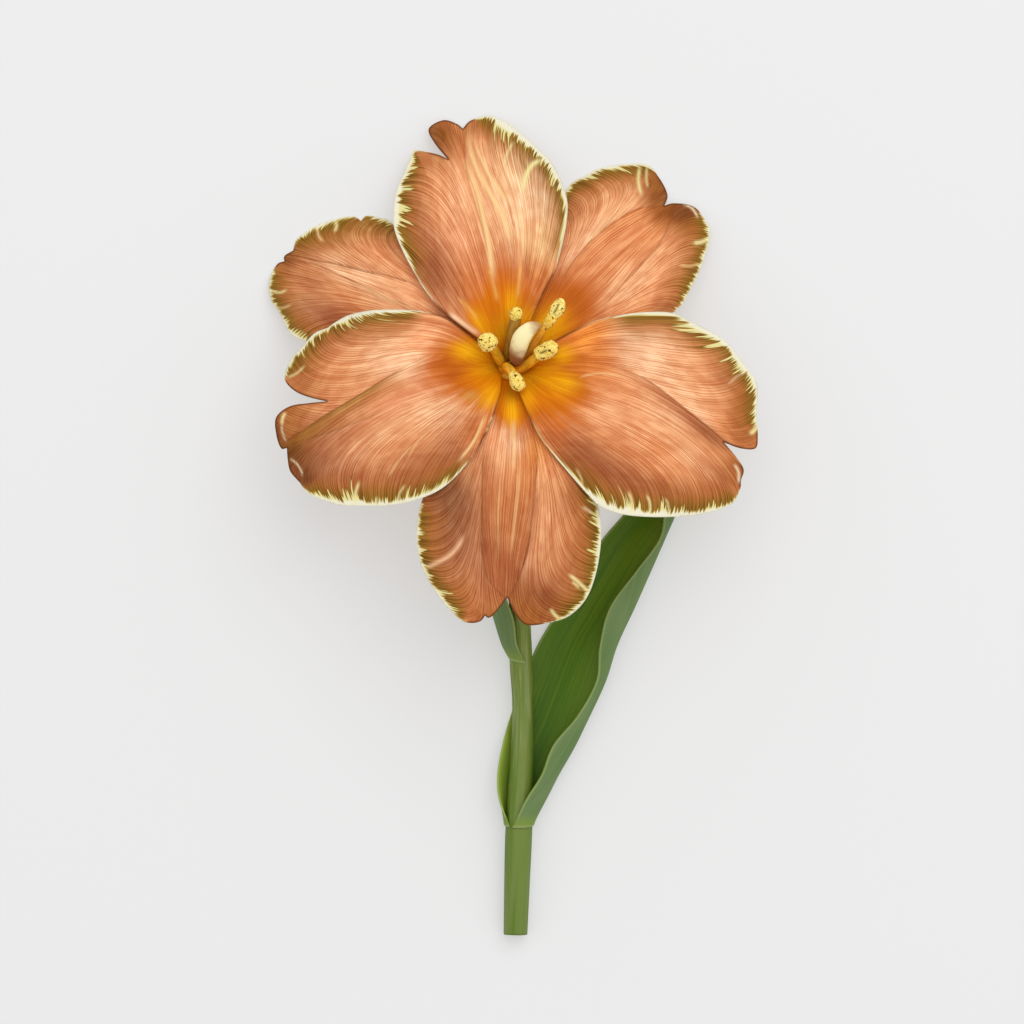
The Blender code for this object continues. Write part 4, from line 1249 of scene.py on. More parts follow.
inner_petal_top = dict(
    whorl="inner", direction=101.0, reach=74.0, half_width=(23.0, 28.0), arch=(2.4, 2.4), bow=0.0,
    droop=3.9, turn_down=1.5, glow=((-1, 10), (16.5, 11), 97), ruffle=1.4, seed=5.1,
    rim=(
        (
            (5, 9, 0), (11, 23, 0), (14, 29, 0.15), (16, 36.5, 0.4), (17.4, 44, 0.5),
            (17.3, 51, 1.1), (13.5, 60.5, 1.8), (9.2, 65.2, 1.9), (3.5, 70.5, 2), (-0.5, 73.5, 2.2),
            (-6, 75.9, 1.2), (-11.5, 74.5, 0), (-14, 72, 0),
        ),
        (
            (-14, 72, 0), (-16, 73.5, 0), (-20, 74.5, 0), (-24.3, 71.8, 0), (-22.5, 67.5, 0),
            (-18.5, 62.5, 0),
        ),
        ((-18.5, 62.5, 0), (-22, 64, 0), (-28.7, 65.5, 0.4)),
        (
            (-28.7, 65.5, 0.4), (-31.3, 59.5, 1.4), (-34, 53, 1.8), (-34.8, 47, 1.7),
            (-34.5, 41, 1.6),
            (-32, 34.5, 0.9), (-28.5, 28, 0.36), (-24.5, 21.5, 0.22), (-18, 14.5, 0), (-6.6, 6, 0),
        ),
    ),
    seams=(
        ((0, 0), (-4.5, 24), (-9.5, 49.5), (-13, 59.5), (-14, 72)),
    ),
    veins=(
        (
            (0, ((-3, 24), (-6.5, 36.5), (-9.5, 49.5), (-13, 59.5), (-14, 65.5), (-14.5, 70))),
            (6, ((0.5, 24), (0, 33.5), (-3, 44), (-7, 52.5), (-10, 61), (-12, 68.5))),
            (16, ((2, 24), (3.5, 33.5), (3, 43), (0, 52), (-3, 58), (-3.5, 63), (-1.5, 68.5))),
            (26, ((5, 24), (8, 32.5), (8.5, 40.5), (8, 47.5), (8.5, 53.5), (11.5, 58))),
            (31, ((6.5, 22.5), (11.5, 29.5), (13.5, 36.5), (13.5, 43), (15, 48.5), (16.5, 52))),
            (35, ((8.5, 19), (13, 28), (15.5, 36), (17, 44), (18, 50))),
        ),
        (
            (0, ((-3, 24), (-6.5, 36.5), (-9.5, 49.5), (-13, 59.5), (-14, 65.5), (-14.5, 70))),
            (9, ((-6.5, 24), (-9, 35), (-12.5, 46.5), (-17.5, 56), (-23.5, 61.5), (-28, 63))),
            (15, ((-8.5, 22), (-12, 33.5), (-16, 43), (-22, 50.5), (-30, 53.5))),
            (26, ((-13, 18), (-19.5, 27), (-24, 34.5), (-28, 38.5), (-32.5, 40.5))),
            (31, ((-17.5, 14.5), (-23.5, 22), (-28, 29), (-31.5, 35))),
        ),
    ),
    tone=(0.790, 0.325, 0.140),
    patches=(
        (pale_peach_and_highlight, 0.95, (4, 54), (22, 9), 80), (cream_peach, 0.85, (10, 58), (10, 5), 100),
        (cream_peach, 0.75, (10, 36), (10, 5), 85), (pale_peach_and_highlight, 0.50, (-14, 48), (12, 5), 100),
        (cream_peach, 0.35, (0, 57), (15, 6), 90), (mauve_brown_and_shade, 0.95, (-23, 30), (15, 7), 120),
        (mauve_brown_and_shade, 0.65, (-30, 44), (12, 5), 95), (tip_brown_and_shade, 0.50, (-28, 61), (7, 5), 0),
        (tip_brown_and_shade, 0.95, (-20, 70), (6, 8), 20), (dark_tip_and_shade, 0.65, (-22.5, 70), (4, 6), 20),
        (tip_brown_and_shade, 0.70, (-9, 76), (7, 5), 0), (tip_brown_and_shade, 0.60, (-9.5, 72.5), (6, 2.5), 20),
        (rose, 0.35, (-15, 38), (10, 6), 110), (highlight_peach, 0.95, (9, 57), (13, 7), 100),
        (deep_brown_and_shade, 0.16, (-22, 27), (10, 5), 120), (rust, 0.75, (-1, 28), (9, 9), 90),
        (red_rust, 0.55, (10, 25), (6, 6), 90), (rust, 0.60, (9, 24), (8, 6), 80),
        (rust, 0.60, (-11, 24), (7, 6), 110), (tip_brown_and_shade, 0.35, (6, 68), (5, 3), 130),
    ),
    fold_shade_paint=rust,
    folds=(
        (0, 0.30, 0.35, 2.0, 0.25, 0.35, 0.30),
        (((2.0, 26), (-2.4, 44), (-7.0, 58), (-12.6, 70)), 0.0, 0.30, 2.0, 0.20, 0.15, 0.35),
    ),
    gold=bright_heart,
    gold_patches=(
        (deep_gold, 0.9, (-5, 17), (6, 3), 100), (bright_gold, 0.7, (1, 18), (5, 2.2), 85),
        (bright_gold, 0.6, (-9, 13), (6, 2.2), 130), (red_rust, 0.5, (6, 18), (5, 3), 90),
        (bright_gold, 0.5, (5, 14), (4, 3), 60), (bright_gold, 0.5, (-2, 10), (4, 3), 90),
    ),
    streaks=(
        (cream_peach, ((-13.5, 63.5), (-9.8, 52.5), (-6.8, 40), (-5.4, 31), (-4.6, 24)), 0.85, 1.00),
        (cream_peach, ((-12.3, 70.7), (-11.6, 65), (-9, 58), (-5.7, 52), (-2, 45), (1, 37)), 0.70, 0.95),
        (cream_peach, ((-10.5, 68.5), (-8.2, 62), (-5, 56), (-1, 50)), 0.55, 0.85),
        (cream_yellow, ((10.6, 62.9), (6.9, 60.5), (5, 56.8), (4, 52)), 0.75, 0.95),
        (cream_yellow, ((1.5, 68), (-0.6, 64), (-1.6, 60)), 0.40, 0.65),
        (cream_peach, ((3.4, 48), (4.2, 40), (4.4, 31)), 0.45, 0.55),
        (gold_glint, ((-6.4, 30), (-4.8, 25), (-3.4, 19)), 0.60, 0.70),
        (gold_glint, ((3.6, 31), (3.2, 26), (2.6, 20)), 0.60, 0.60),
        (gold_glint, ((-15.6, 20.5), (-12.6, 17.4), (-9.4, 14)), 0.50, 0.50),
        (highlight_peach, ((-18.4, 15.8), (-13.4, 12.2), (-8.8, 9.0)), 0.70, 0.80),
    ),
)
inner_petal_right = dict(
    whorl="inner", direction=-19.8, reach=75.0, half_width=(22.0, 35.0), arch=(3.2, 1.6), bow=10.0,
    droop=9.0, turn_down=1.5, glow=((6, -4), (18, 13), -12), ruffle=1.5, seed=6.7,
    rim=(
        (
            (2.5, -7, 0), (8, -19.5, 0), (12, -25.5, 0.15), (20, -35, 0.6), (24, -39.5, 1.6),
            (27.8, -42.8, 2.3), (35, -45, 2.6), (46.5, -45.6, 2), (57.7, -44.7, 1.2),
            (66.2, -41.8, 0.7),
            (68.8, -37.5, 0.2), (69.2, -34.5, 0), (70, -31.5, 0), (68, -28, 0.2), (64, -23.2, 0),
        ),
        (
            (64, -23.2, 0), (69, -25, 0), (73.6, -25.1, 0), (74.3, -21, 0), (74, -15.5, 0.8),
            (74.5, -9, 1.4), (74, -4.5, 1.6), (71.5, -1, 1.8), (64.4, 7.6, 1.6), (55, 12.8, 1.5),
            (49, 15.6, 1.2), (41, 15.8, 0.9), (33, 14.8, 0.4), (25.5, 13, 0.15), (15, 8, 0),
            (8, 4, 0),
        ),
    ),
    seams=(
        ((0, 0), (26, 0.5), (33, -1), (41, -4.5), (54, -14.5), (64.5, -23)),
    ),
    veins=(
        (
            (-4, ((20, 1), (27, 0.5), (33, -1), (41, -4.5), (54, -14.5), (64, -23))),
            (0, ((23, -3.5), (31.5, -3.5), (40.5, -7), (49, -12), (56.5, -17.5), (62.5, -22), (67.5, -27),
                (70.5, -31))),
            (10, ((25.5, -10.5), (34.5, -13), (43.5, -17), (50.5, -21.5), (56.5, -26), (61, -30.5),
                (64, -35.5), (65, -41))),
            (15, ((21.5, -13), (29, -16), (36.5, -18.5), (44, -22), (50, -26.5), (54, -31), (57, -36),
                (59, -41.5))),
            (27, ((16, -16), (23.5, -20), (30.5, -24.5), (36.5, -29.5), (40.5, -34), (43, -38.5),
                (44.5, -43))),
            (38, ((9.5, -18), (13.5, -23), (18, -28.5), (22, -33.5), (25.5, -37.5), (28.5, -41))),
            (43, ((7, -20.5), (10.5, -27), (15, -33.5), (20, -40.5))),
        ),
        (
            (0, ((27.5, 11.5), (37.5, 13.5), (45.5, 13), (50.5, 13), (56.5, 13.5))),
            (9, ((27.5, 6), (40, 6.5), (49.5, 4.5), (58.5, 4), (63.5, 5.5), (68, 7.5))),
            (14, ((32.5, 2.5), (41.5, 0.5), (50.5, -2.5), (58.5, -2.5), (63.5, -1), (69.5, 1.5))),
            (23, ((47, -8.5), (52, -12), (57.5, -13.5), (62.5, -13.5), (66.5, -12), (74, -9))),
            (28, ((54, -15.5), (59.5, -19), (64.5, -20.5), (68.5, -20.5), (74, -19.5))),
        ),
    ),
    tone=(0.790, 0.300, 0.115),
    patches=(
        (pale_peach_and_highlight, 0.80, (38, 2), (13, 5), -15), (highlight_peach, 0.70, (38, 7), (13, 5), -5),
        (pale_peach_and_highlight, 0.35, (46, -6), (12, 6), -38), (pale_peach_and_highlight, 0.35, (30, -14), (12, 5), -30),
        (pale_peach_and_highlight, 0.45, (46, -16), (9, 5), -40), (pale_peach_and_highlight, 0.45, (55, -28), (9, 4), -40),
        (rust, 0.75, (27, 4), (8, 8), 15), (orange, 0.75, (23, 9), (9, 3.5), 25),
        (deep_brown_and_shade, 0.95, (29, -38), (14, 7), -32), (hot_orange, 0.60, (20, 4), (9, 8), 20),
        (rust, 0.50, (70, -14), (6, 12), 0), (rust, 0.35, (65, -37), (6, 5), 0),
        (mauve_brown_and_shade, 0.90, (30, -36), (20, 9), -30), (mauve_brown_and_shade, 0.85, (20, -29), (13, 7), -50),
        (mauve_brown_and_shade, 0.80, (45, -40), (15, 6), -3), (mauve_brown_and_shade, 0.60, (65, -36), (9, 6), -20),
        (tip_brown_and_shade, 0.70, (73, -12), (12, 7), 90), (tip_brown_and_shade, 0.60, (72, -20), (6, 5), 0),
        (mauve_brown_and_shade, 0.50, (65, -3), (7, 6), -50), (tip_brown_and_shade, 0.60, (68, -32), (5, 6), 0),
        (rust, 0.35, (24, 0), (6, 5), 0), (rust, 0.50, (13, -20), (8, 4), -60),
        (mauve_brown_and_shade, 0.45, (57, -19), (10, 3), -42), (dark_tip_and_shade, 0.75, (70.4, -30.4), (1.8, 2.6), 40),
        (deep_brown_and_shade, 0.60, (60, -21), (7, 1.8), -42),
    ),
    fold_shade_paint=mauve_brown_and_shade,
    folds=((0, 0.45, -0.8, 3.2, 0.60, 0.35, 0.75),),
    gold=bright_heart,
    gold_patches=(
        (bright_gold, 0.95, (16, 3), (5, 3), 20), (bright_gold, 0.95, (17, -6), (5, 3), 0),
        (red_rust, 0.6, (17, -1), (5, 1.3), -5), (red_rust, 0.6, (22, -1), (4, 6), 0),
        (red_rust, 0.5, (10, -16), (5, 4), -70), (bright_gold, 0.6, (5, -9), (3, 6), 0),
        (red_rust, 0.4, (23, -9), (5, 4), 60), (bright_gold, 0.5, (10, -3), (5, 3), -10),
        (deep_gold, 0.35, (15, -9), (9, 7), 0),
    ),
    streaks=(
        (cream_yellow, ((36, -45), (36.5, -41), (35.5, -38)), 0.40, 0.85),
        (cream_yellow, ((42, -45), (42, -41.5), (41, -39)), 0.35, 0.85),
        (cream_yellow, ((47.5, -45.4), (47.4, -42.4), (46.6, -40)), 0.30, 0.70),
        (cream_peach, ((22, -38), (21.5, -34), (20, -31)), 0.30, 0.60),
        (cream_peach, ((20.6, -4.4), (23.6, -3.2), (28, -2.8), (34, -3.8)), 0.28, 0.60),
        (cream_peach, ((6.4, -16.5), (9, -21.5), (13.5, -27.4)), 0.30, 0.80),
        (lip_highlight, ((67, -29.6), (68.4, -32.2), (68.4, -35.6)), 0.40, 0.90),
        (cream_yellow, ((74.2, -18.4), (73.2, -19.8), (72, -20.8)), 0.60, 0.95),
        (lip_highlight, ((72.2, -1.8), (68.5, -3.4), (65.5, -6)), 0.28, 0.55),
    ),
)
inner_petal_left = dict(
    whorl="inner", direction=200.5, reach=72.0, half_width=(35.0, 22.0), arch=(1.8, 3.2), bow=-9.0,
    droop=9.0, turn_down=1.5, glow=((-5, -1), (17, 11.5), 0), ruffle=1.5, seed=8.3,
    rim=(
        (
            (-7.2, 4.8, 0), (-18, 13.6, 0), (-24, 15.6, 0.15), (-30, 16.4, 0.6), (-36, 16.6, 1.4),
            (-42, 16.3, 1.7), (-48, 15, 1.6), (-51.8, 13, 1.1), (-54.3, 11.2, 0.4),
        ),
        (
            (-54.3, 11.2, 0.4), (-58.5, 9.4, 1), (-62.3, 5.1, 1.2), (-65.4, 1.7, 1.1), (-67.2, -3.2, 0.4),
            (-66.2, -6, 0), (-63.2, -8.4, 0), (-59, -10, 0), (-54.5, -11, 0),
        ),
        (
            (-54.5, -11, 0), (-60, -11.6, 0), (-65.6, -12.6, 0), (-69.6, -16, 0), (-69.4, -21.5, 0),
            (-68, -25.1, 0), (-66.3, -24.9, 0),
        ),
        (
            (-66.3, -24.9, 0), (-66, -28.5, 0), (-65.2, -32, 0), (-62.5, -35.2, 0.1),
            (-59.3, -38.9, 0.6),
            (-51.2, -41.9, 1.4), (-44, -42.3, 2), (-36, -42.2, 1.7), (-26.9, -40.3, 1.2),
            (-18.5, -36, 0.8), (-10.5, -27, 0.15), (-5, -16.5, 0), (-2.5, -7.5, 0),
        ),
    ),
    seams=(
        ((0, 0), (-23, 3), (-34, -2.5), (-45, -9.5), (-55, -15.5), (-66, -23)),
    ),
    veins=(
        (
            (-3, ((-23, 15.5), (-29, 14.5), (-34, 15), (-36, 17.5))),
            (3, ((-24, 11.5), (-30.5, 11), (-37, 10), (-41, 10.5), (-44, 12.5), (-47, 14.5))),
            (7, ((-25.5, 7.5), (-34, 7), (-41, 5.5), (-47, 6.5), (-51, 9), (-54.5, 11.5))),
            (17, ((-27, 2), (-34, -0.5), (-42, -2), (-48.5, -3.5), (-54, -3.5), (-58.5, -1), (-63.5, 2.5))),
            (24, ((-44, -6.5), (-47, -8.5), (-52, -8.5), (-57, -8.5), (-62, -5.5), (-66.5, -3.5))),
        ),
        (
            (-5, ((-20, 3.5), (-27, 1), (-34, -2.5), (-45, -9.5), (-55, -15.5), (-64, -22))),
            (0, ((-29, -4.5), (-37.5, -7), (-46, -12), (-52.5, -16.5), (-59, -20.5), (-65.5, -24))),
            (12, ((-18, -9), (-29, -13), (-37.5, -17.5), (-44.5, -21.5), (-47.5, -25.5), (-50, -30),
                (-50.5, -39))),
            (18, ((-17.5, -11), (-24.5, -15.5), (-31, -18.5), (-37.5, -23), (-41.5, -27.5), (-43.5, -32.5),
                (-44, -41.5))),
            (31, ((-14.5, -15), (-20.5, -21), (-25.5, -26.5), (-29, -31.5), (-31.5, -40.5))),
            (43, ((-11.5, -19.5), (-14, -26), (-18.5, -33), (-23.5, -39))),
            (48, ((-10, -21), (-11.5, -27.5), (-14.5, -34.5), (-18.5, -42))),
        ),
    ),
    tone=(0.750, 0.290, 0.115),
    patches=(
        (pale_peach_and_highlight, 0.95, (-20, -13), (10, 6), 20), (pale_peach_and_highlight, 0.95, (-31, 3), (14, 7), 10),
        (highlight_peach, 0.60, (-29, 2), (8, 6), 10), (rust, 0.90, (-21, 1), (5, 8), 0),
        (rust, 0.50, (-17, 9), (8, 3.5), 30), (bright_salmon, 0.60, (-28, 7), (8, 5), 20),
        (red_rust, 0.50, (-57, -26), (13, 9), 20), (red_rust, 0.30, (-29, -37), (14, 5), 5),
        (mauve_brown_and_shade, 0.80, (-31, -38), (17, 7), 0), (mauve_brown_and_shade, 0.70, (-17, -27), (13, 7), 55),
        (mauve_brown_and_shade, 0.95, (-60, -31), (13, 10), 20), (deep_brown_and_shade, 0.55, (-61, -30), (7, 6), 0),
        (mauve_brown_and_shade, 0.65, (-55, -20), (13, 4), 30), (mauve_brown_and_shade, 0.60, (-53, 9), (13, 5), 20),
        (tip_brown_and_shade, 0.55, (-62, -1), (8, 6), 80), (tip_brown_and_shade, 0.70, (-66, -20), (6, 6), 0),
        (tip_brown_and_shade, 0.45, (-63, -7), (6, 4), 0), (rose, 0.65, (-36, -12), (14, 3.5), 22),
        (mauve_brown_and_shade, 0.35, (-30, -29), (10, 5), 20), (mauve_brown_and_shade, 0.70, (-52, -38), (11, 6), 10),
        (dark_tip_and_shade, 0.92, (-70, -20), (2.6, 8), 0), (dark_tip_and_shade, 0.55, (-61.5, -34.5), (2.4, 3), 0),
        (dark_tip_and_shade, 0.90, (-64.5, -26.5), (4, 4), 0), (tip_brown_and_shade, 0.70, (-64, -14), (6, 4), 10),
        (dark_tip_and_shade, 0.75, (-60, -34), (4, 2.5), 120), (mauve_brown_and_shade, 0.80, (-65, -32), (1.6, 3), 20),
        (dark_tip_and_shade, 0.70, (-66.4, -30), (2.4, 5), 0), (rust, 0.60, (-9, -19), (6, 4), 60),
        (pale_peach_and_highlight, 0.40, (-40, -22), (14, 4), 35),
    ),
    fold_shade_paint=olive_brown,
    folds=(
        (0, 0.38, 0.9, 2.8, 0.85, 0.50, 0.15),
        (((-17.5, -7.0), (-35, -13.3), (-52, -19.8), (-65, -23.8)), 0.3, -0.3, 2.2, 0.20, 0.12, 0.15),
    ),
    gold=bright_heart,
    gold_patches=(
        (bright_gold, 0.95, (-11.5, 4), (6, 3.4), 170), (bright_gold, 0.8, (-6, -10), (5, 3), 60),
        (red_rust, 0.85, (-16.5, -3), (6, 2.8), 32), (red_rust, 0.7, (-20, 1), (5, 4), 90),
        (red_rust, 0.6, (-14, -7.5), (3.5, 2.5), 30), (grey_gold, 0.8, (-11.6, -9.6), (2.6, 1.6), 0),
        (bright_gold, 0.5, (-7, -2), (5, 2), 10), (red_rust, 0.4, (-16, 9), (6, 2), 150),
        (deep_gold, 0.35, (-12, -14), (8, 7), 60),
    ),
    streaks=(
        (cream_yellow, ((-45.5, -42.5), (-45.6, -38.5), (-44.5, -35)), 0.40, 0.85),
        (cream_yellow, ((-33.5, -41.5), (-32.5, -38.5), (-31, -36)), 0.32, 0.70),
        (cream_yellow, ((-39.6, -42.4), (-39.4, -39.6)), 0.35, 0.70),
        (cream_yellow, ((-66.6, -4), (-63.6, -2.8), (-61, -0.4)), 0.35, 0.65),
        (cream_peach, ((-7, -14.5), (-10.2, -22.5), (-15, -29)), 0.40, 0.90),
        (cream_peach, ((-4.7, -15), (-6.9, -20.5)), 0.25, 0.80),
        (cream_yellow, ((-66.6, -14.2), (-67.6, -16), (-67.8, -18)), 0.42, 0.90),
        (lip_highlight, ((-67.8, -17.4), (-67.8, -20), (-66.6, -23)), 0.24, 0.70),
        (lip_highlight, ((-65.6, -28), (-63.4, -29.6), (-61.9, -31.8), (-61.6, -33.4)), 0.26, 0.75),
        (cream_peach, ((-29, -24.5), (-33, -29), (-36, -34)), 0.26, 0.50),
        (cream_peach, ((-23, -19), (-27, -23), (-30.5, -28.5)), 0.26, 0.45),
    ),
)
make_petal("inner_petal_top", inner_petal_top)
make_petal("inner_petal_right", inner_petal_right)
make_petal("inner_petal_left", inner_petal_left)


# ---- Stamens -------------------------------------------------------------------------------------
# Six stamens stand round the pistil. Each has a soft stalk, gold to olive, and a pale yellow anther that has
# split open and is crusted with pollen grains.

stalk_sides = 20
anther_sides = 44
anther_cap_reach = 0.35
anther_cap_radius = 0.3
anther_least_radius = 0.25
groove_depth = 0.5
groove_width = 16.0
slit_width = 9.0
slit_fade = 0.12
crust_shift = 9.0
stalk_shade = 0.62

olive_stalk = (0.420, 0.200, 0.010)
gold_stalk = (1.000, 0.480, 0.016)
pollen_yellow = (1.000, 0.770, 0.150)
pale_pollen = (1.000, 0.900, 0.360)
pollen_shade = (0.90, 0.80, 0.60)
pollen_crack = (0.420, 0.200, 0.010)
pollen_gap = (0.100, 0.040, 0.004)
slit_brown = (0.110, 0.060, 0.004)
flank_shade_brown = (0.400, 0.200, 0.010)
# Stalks and anthers are routes of (x, y, height over the receptacle, radius). A slit is where the anther has
# split, in degrees round it, and its span is the share of the anther's length that it runs over.
stamens = {
    "stamen_1": dict(
        stalk=(
            (-0.67, 1.83, 0.6, 1.5), (-0.5, 3.4, 3.8, 1.5), (0.2, 6.6, 7.2, 1.6), (1.2, 10.4, 9.6, 1.9),
            (1.9, 13.2, 11.0, 1.8), (2.1, 14.2, 11.6, 1.4),
        ),
        stalk_colour=olive_stalk, lobe_colour=(1.00, 0.76, 0.12), slit=200.0, slit_span=None,
        anther=(
            (1.5, 13.9, 11.8, 1.2), (1.8, 14.8, 12.6, 1.8), (2.4, 15.7, 13.4, 1.9),
            (3.0, 16.4, 14.0, 1.2),
        ),
    ),
    "stamen_2": dict(
        stalk=(
            (1.94, 0.17, 0.6, 1.4), (3.8, 2.2, 4.4, 1.3), (6.9, 5.2, 7.8, 1.2), (9.4, 9.0, 10.4, 1.2),
            (10.4, 11.0, 11.4, 1.0),
        ),
        stalk_colour=(0.860, 0.400, 0.020), lobe_colour=(1.00, 0.60, 0.02), tip_colour=(1.00, 0.84, 0.24),
        slit=95.0, slit_span=(0.50, 0.92),
        anther=(
            (10.4, 11.0, 11.2, 0.9), (11.8, 12.6, 12.2, 1.7), (13.2, 14.6, 13.0, 1.75),
            (14.6, 16.8, 13.8, 2.15),
            (15.4, 18.6, 14.2, 1.6), (15.7, 19.5, 14.4, 0.9),
        ),
    ),
    "stamen_3": dict(
        stalk=(
            (-1.92, 0.34, 0.6, 1.6), (-2.7, 1.6, 4.2, 1.6), (-3.9, 3.6, 7.6, 1.5), (-4.9, 5.2, 10.0, 1.3),
            (-5.6, 6.2, 11.4, 1.1),
        ),
        stalk_colour=(0.860, 0.440, 0.012), lobe_colour=(1.00, 0.80, 0.18), slit=110.0, slit_span=None,
        anther=(
            (-6.6, 5.2, 11.2, 1.5), (-6.5, 6.0, 12.2, 2.8), (-6.2, 7.6, 13.6, 2.9),
            (-6.0, 8.8, 14.4, 1.6),
        ),
    ),
    "stamen_4": dict(
        stalk=(
            (1.25, -1.49, 0.6, 1.6), (3.0, -1.2, 4.4, 1.6), (6.4, 0.9, 8.4, 1.5), (8.8, 2.6, 11.0, 1.4),
            (9.6, 3.2, 12.2, 1.2),
        ),
        stalk_colour=gold_stalk, lobe_colour=pollen_yellow, slit=90.0, slit_span=(0.30, 0.72),
        anther=(
            (8.2, 2.9, 12.4, 1.5), (9.2, 3.3, 13.0, 2.3), (11.2, 4.1, 14.2, 2.55), (13.2, 5.2, 15.2, 2.3),
            (14.2, 5.7, 15.6, 1.3),
        ),
    ),
    "stamen_5": dict(
        stalk=(
            (-0.67, -1.83, 0.6, 1.6), (-0.9, -0.6, 4.6, 1.4), (-0.4, -0.8, 7.8, 1.4), (0.6, -1.8, 9.8, 1.4),
            (1.5, -3.2, 11.0, 1.2),
        ),
        stalk_colour=gold_stalk, lobe_colour=pollen_yellow, slit=80.0, slit_span=None,
        anther=(
            (1.1, -2.6, 11.2, 1.3), (1.7, -3.8, 12.0, 1.9), (2.5, -5.4, 12.8, 2.3), (3.0, -6.8, 13.4, 2.0),
            (3.2, -7.6, 13.6, 1.1),
        ),
    ),
    "stamen_6": dict(
        stalk=(
            (1.12, 1.6, 0.6, 1.0), (2.2, 3.2, 2.6, 0.9), (3.2, 5.0, 4.2, 0.8), (3.8, 5.8, 4.8, 0.8),
            (4.2, 6.3, 5.1, 0.7),
        ),
        stalk_colour=gold_stalk, lobe_colour=pollen_yellow, slit=90.0, slit_span=None,
        anther=((3.9, 5.9, 4.9, 0.8), (4.5, 6.8, 5.4, 1.3), (5.2, 7.6, 6.0, 1.4), (5.8, 8.4, 6.4, 0.7)),
    ),
}

anther_skin, tree, shader = new_skin("anther_skin")
spot = mark(tree, "spot", "Vector")
grains = grain(tree, spot, 2.2, 1.5)
cracks = grain(tree, spot, 0.85, 0.5)
gaps = grain(tree, spot, 0.90, 0.0)
lobe = mark(tree, "lobe_paint", "Vector")
pale = blend_paint(tree, 0.50, lobe, pale_pollen)
yellow = blend_paint(tree, ease(tree, grains, 0.40, 0.60), tinted(tree, lobe, pollen_shade), pale)
off_crack = calc(tree, "ABSOLUTE", less(tree, cracks, 0.5))
crack = times(tree, ease(tree, off_crack, 0.030, 0.008), ease(tree, gaps, 0.38, 0.46))
yellow = blend_paint(tree, crack, yellow, pollen_crack)
yellow = blend_paint(tree, ease(tree, gaps, 0.70, 0.72), yellow, pollen_gap)
yellow = blend_paint(tree, mark(tree, "slit"), yellow, slit_brown)
# Painted shade: the anther's sides, as they turn away from overhead, are darkened to brown.
flank_shade = times(tree, ease(tree, mark(tree, "flank_shade"), 0.55, 0.95), 0.90)
yellow = blend_paint(tree, flank_shade, yellow, flank_shade_brown)
coat(tree, shader, yellow, 0.8, 0.2)
relief_from(tree, shader, grains, 0.00012)


def risen(route):
    """A route whose heights are counted from the receptacle, with heights from the surface instead."""
    return np.array([(x, y, receptacle_height + z, radius) for x, y, z, radius in route])


def rounded_ends(route):
    """An anther's route with a small round cap beyond each end."""
    start, end = route[0].copy(), route[-1].copy()
    first, last = (route[1] - route[0])[:3], (route[-1] - route[-2])[:3]
    start[:3] -= anther_cap_reach * start[3] * first / np.linalg.norm(first)
    end[:3] += anther_cap_reach * end[3] * last / np.linalg.norm(last)
    start[3] = end[3] = anther_cap_radius
    return np.vstack([start, route, end])


def off_slit(angle, slit):
    """How many degrees round the anther an angle lies from its slit."""
    return (np.degrees(angle) - slit + 180) % 360 - 180


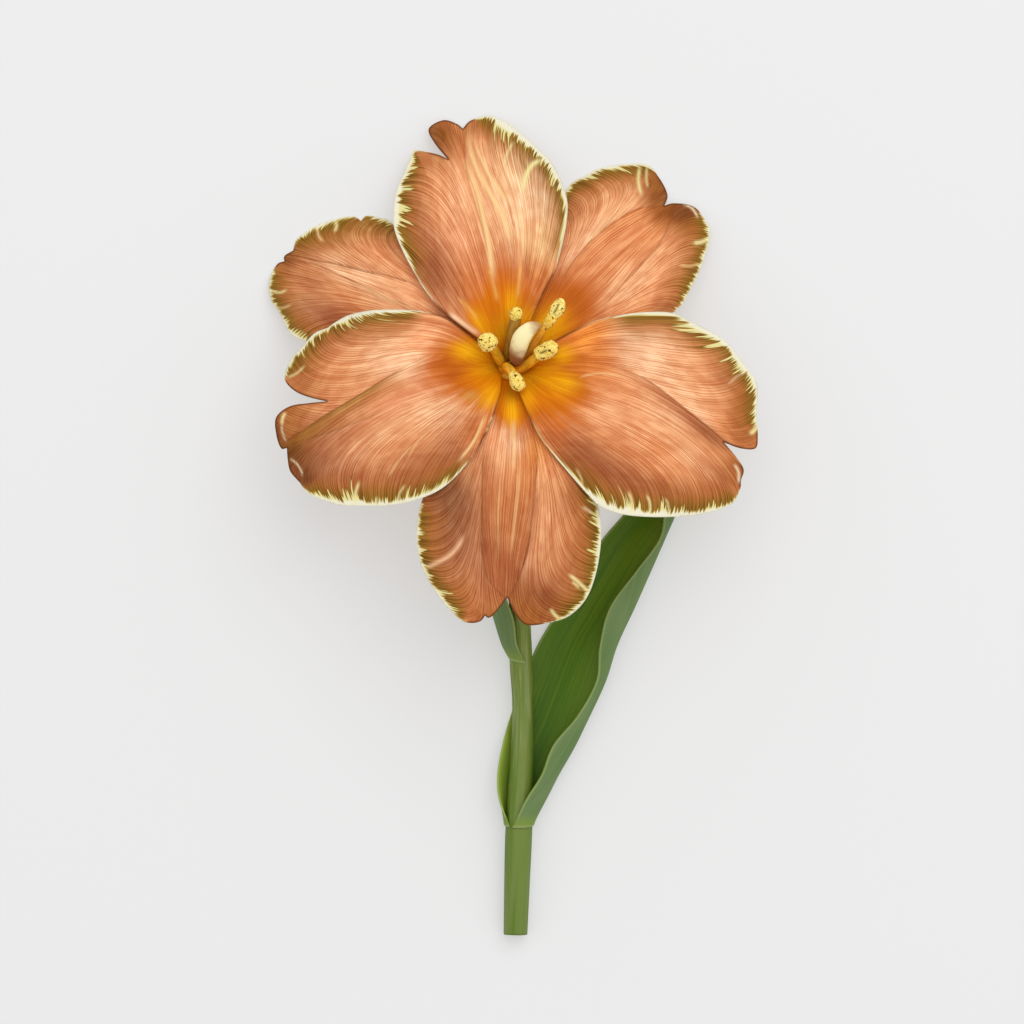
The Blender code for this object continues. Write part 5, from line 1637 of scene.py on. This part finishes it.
for count, (node, form) in enumerate(stamens.items()):
    stalk_skin, tree, shader = new_skin(node + "_stalk_skin")
    fibres = grain(tree, mark(tree, "spot", "Vector"), 1.4, 3.0)
    deep = tuple(channel * stalk_shade for channel in form["stalk_colour"])
    stalk_paint = blend_paint(tree, ease(tree, fibres, 0.35, 0.65), deep, form["stalk_colour"])
    coat(tree, shader, stalk_paint, 0.5)
    relief_from(tree, shader, fibres, 0.0001)

    stalk_line = smooth_curve(risen(form["stalk"]), 8)
    stalk_points, stalk_faces, stalk_angles, stalk_places = tube(stalk_line, stalk_sides)
    stalk_spot = np.column_stack([np.cos(stalk_angles), np.sin(stalk_angles), stalk_places * 0.2])

    anther_line = smooth_curve(rounded_ends(risen(form["anther"])), 8)
    anther_line[:, 3] = np.maximum(anther_line[:, 3], anther_least_radius)
    shift = Vector((crust_shift * count, 0, 0))

    def pollen(angle, place, radius):
        """Crusted grains, and the groove where the anther has split."""
        where = Vector((math.cos(angle) * radius, math.sin(angle) * radius, place)) + shift
        crust = 0.20 * noise.noise(where * 1.2) + 0.14 * noise.noise(where * 2.6)
        near_slit = math.exp(-(off_slit(angle, form["slit"]) / groove_width) ** 2)
        groove = groove_depth * near_slit if form["slit_span"] else 0.0
        return min(1.0, 0.6 * radius) * (crust - groove)

    body_points, body_faces, body_angles, body_places = tube(anther_line, anther_sides, pollen)
    body_spot = body_points - body_points[0] + np.array(shift)
    share = body_places / body_places.max()
    slit = np.zeros(len(share))
    if form["slit_span"]:
        low, high = form["slit_span"]
        slit = np.exp(-(off_slit(body_angles, form["slit"]) / slit_width) ** 2)
        slit = slit * soft_step(low, low + slit_fade, share) * (1 - soft_step(high - slit_fade, high, share))
    points = np.vstack([stalk_points, body_points])
    faces = stalk_faces + [tuple(i + len(stalk_points) for i in face) for face in body_faces]
    lobe_paint = np.array(form["lobe_colour"]) * np.ones((len(points), 1))
    if "tip_colour" in form:
        upper = soft_step(0.40, 0.60, share)
        lobe_paint[len(stalk_points):] = laid_over(lobe_paint[len(stalk_points):], upper, form["tip_colour"])
    piece = grown_piece(
        node + "_grown", points, faces, node, [stalk_skin, anther_skin],
        dict(
            spot=np.vstack([stalk_spot, body_spot]), lobe_paint=lobe_paint,
            slit=np.concatenate([np.zeros(len(stalk_points)), slit]),
        ),
    )
    # How far each point of the stamen faces away from overhead, for the anther's painted shade.
    slope = np.array([vertex.normal.z for vertex in piece.data.vertices])
    piece.data.attributes.new("flank_shade", "FLOAT", "POINT").data.foreach_set("value", 1 - slope)
    for polygon in piece.data.polygons[len(stalk_faces):]:
        polygon.material_index = 1


# ---- Pistil --------------------------------------------------------------------------------------
# The smooth cream ovary leans across the flower's middle. It is flushed with purple-brown at its foot and
# ends in a small brownish stigma.

pistil_route = (
    (0.6, 0.2, 0.6, 0.9), (1.4, 0.5, 3.6, 1.0), (2.0, 0.8, 6.0, 1.3), (2.3, 1.9, 8.2, 2.1),
    (2.9, 4.6, 10.8, 2.6), (4.0, 8.0, 13.2, 2.75), (6.1, 10.5, 15.0, 2.2), (8.2, 11.5, 16.0, 1.5),
    (9.5, 11.9, 16.4, 0.7),
)
pistil_sides = 40
stigma_shrink = (0.95, 0.75, 0.35)
lobe_bulge = 0.07
ovary_cream = (1.000, 0.900, 0.500)
purple_brown = (0.260, 0.090, 0.034)
stigma_brown = (0.480, 0.260, 0.080)
foot_brown = (0.110, 0.036, 0.010)


def three_lobes(angle, place, radius):
    """The ovary's three soft lobes."""
    return lobe_bulge * radius * math.cos(3 * angle)


pistil_line = smooth_curve(risen(pistil_route), 10)
pistil_line[-3:, 3] *= stigma_shrink
points, faces, _, places = tube(pistil_line, pistil_sides, three_lobes)

pistil_skin, tree, shader = new_skin("pistil_skin")
blotches = grain(tree, mark(tree, "spot", "Vector"), 0.55)
upward = plus(tree, mark(tree, "upward"), times(tree, less(tree, blotches, 0.5), 0.16))
paint = blend_paint(tree, ease(tree, upward, 0.40, 0.66), purple_brown, ovary_cream)
paint = blend_paint(tree, ease(tree, upward, 0.82, 0.98), paint, stigma_brown)
paint = blend_paint(tree, ease(tree, upward, 0.28, 0.16), paint, foot_brown)
coat(tree, shader, paint, 0.4)
shader.inputs["Subsurface Weight"].default_value = 0.1
shader.inputs["Subsurface Scale"].default_value = 0.001
grown_piece(
    "pistil_grown", points, faces, "pistil", [pistil_skin],
    dict(spot=points - points[0], upward=places / places.max()),
)
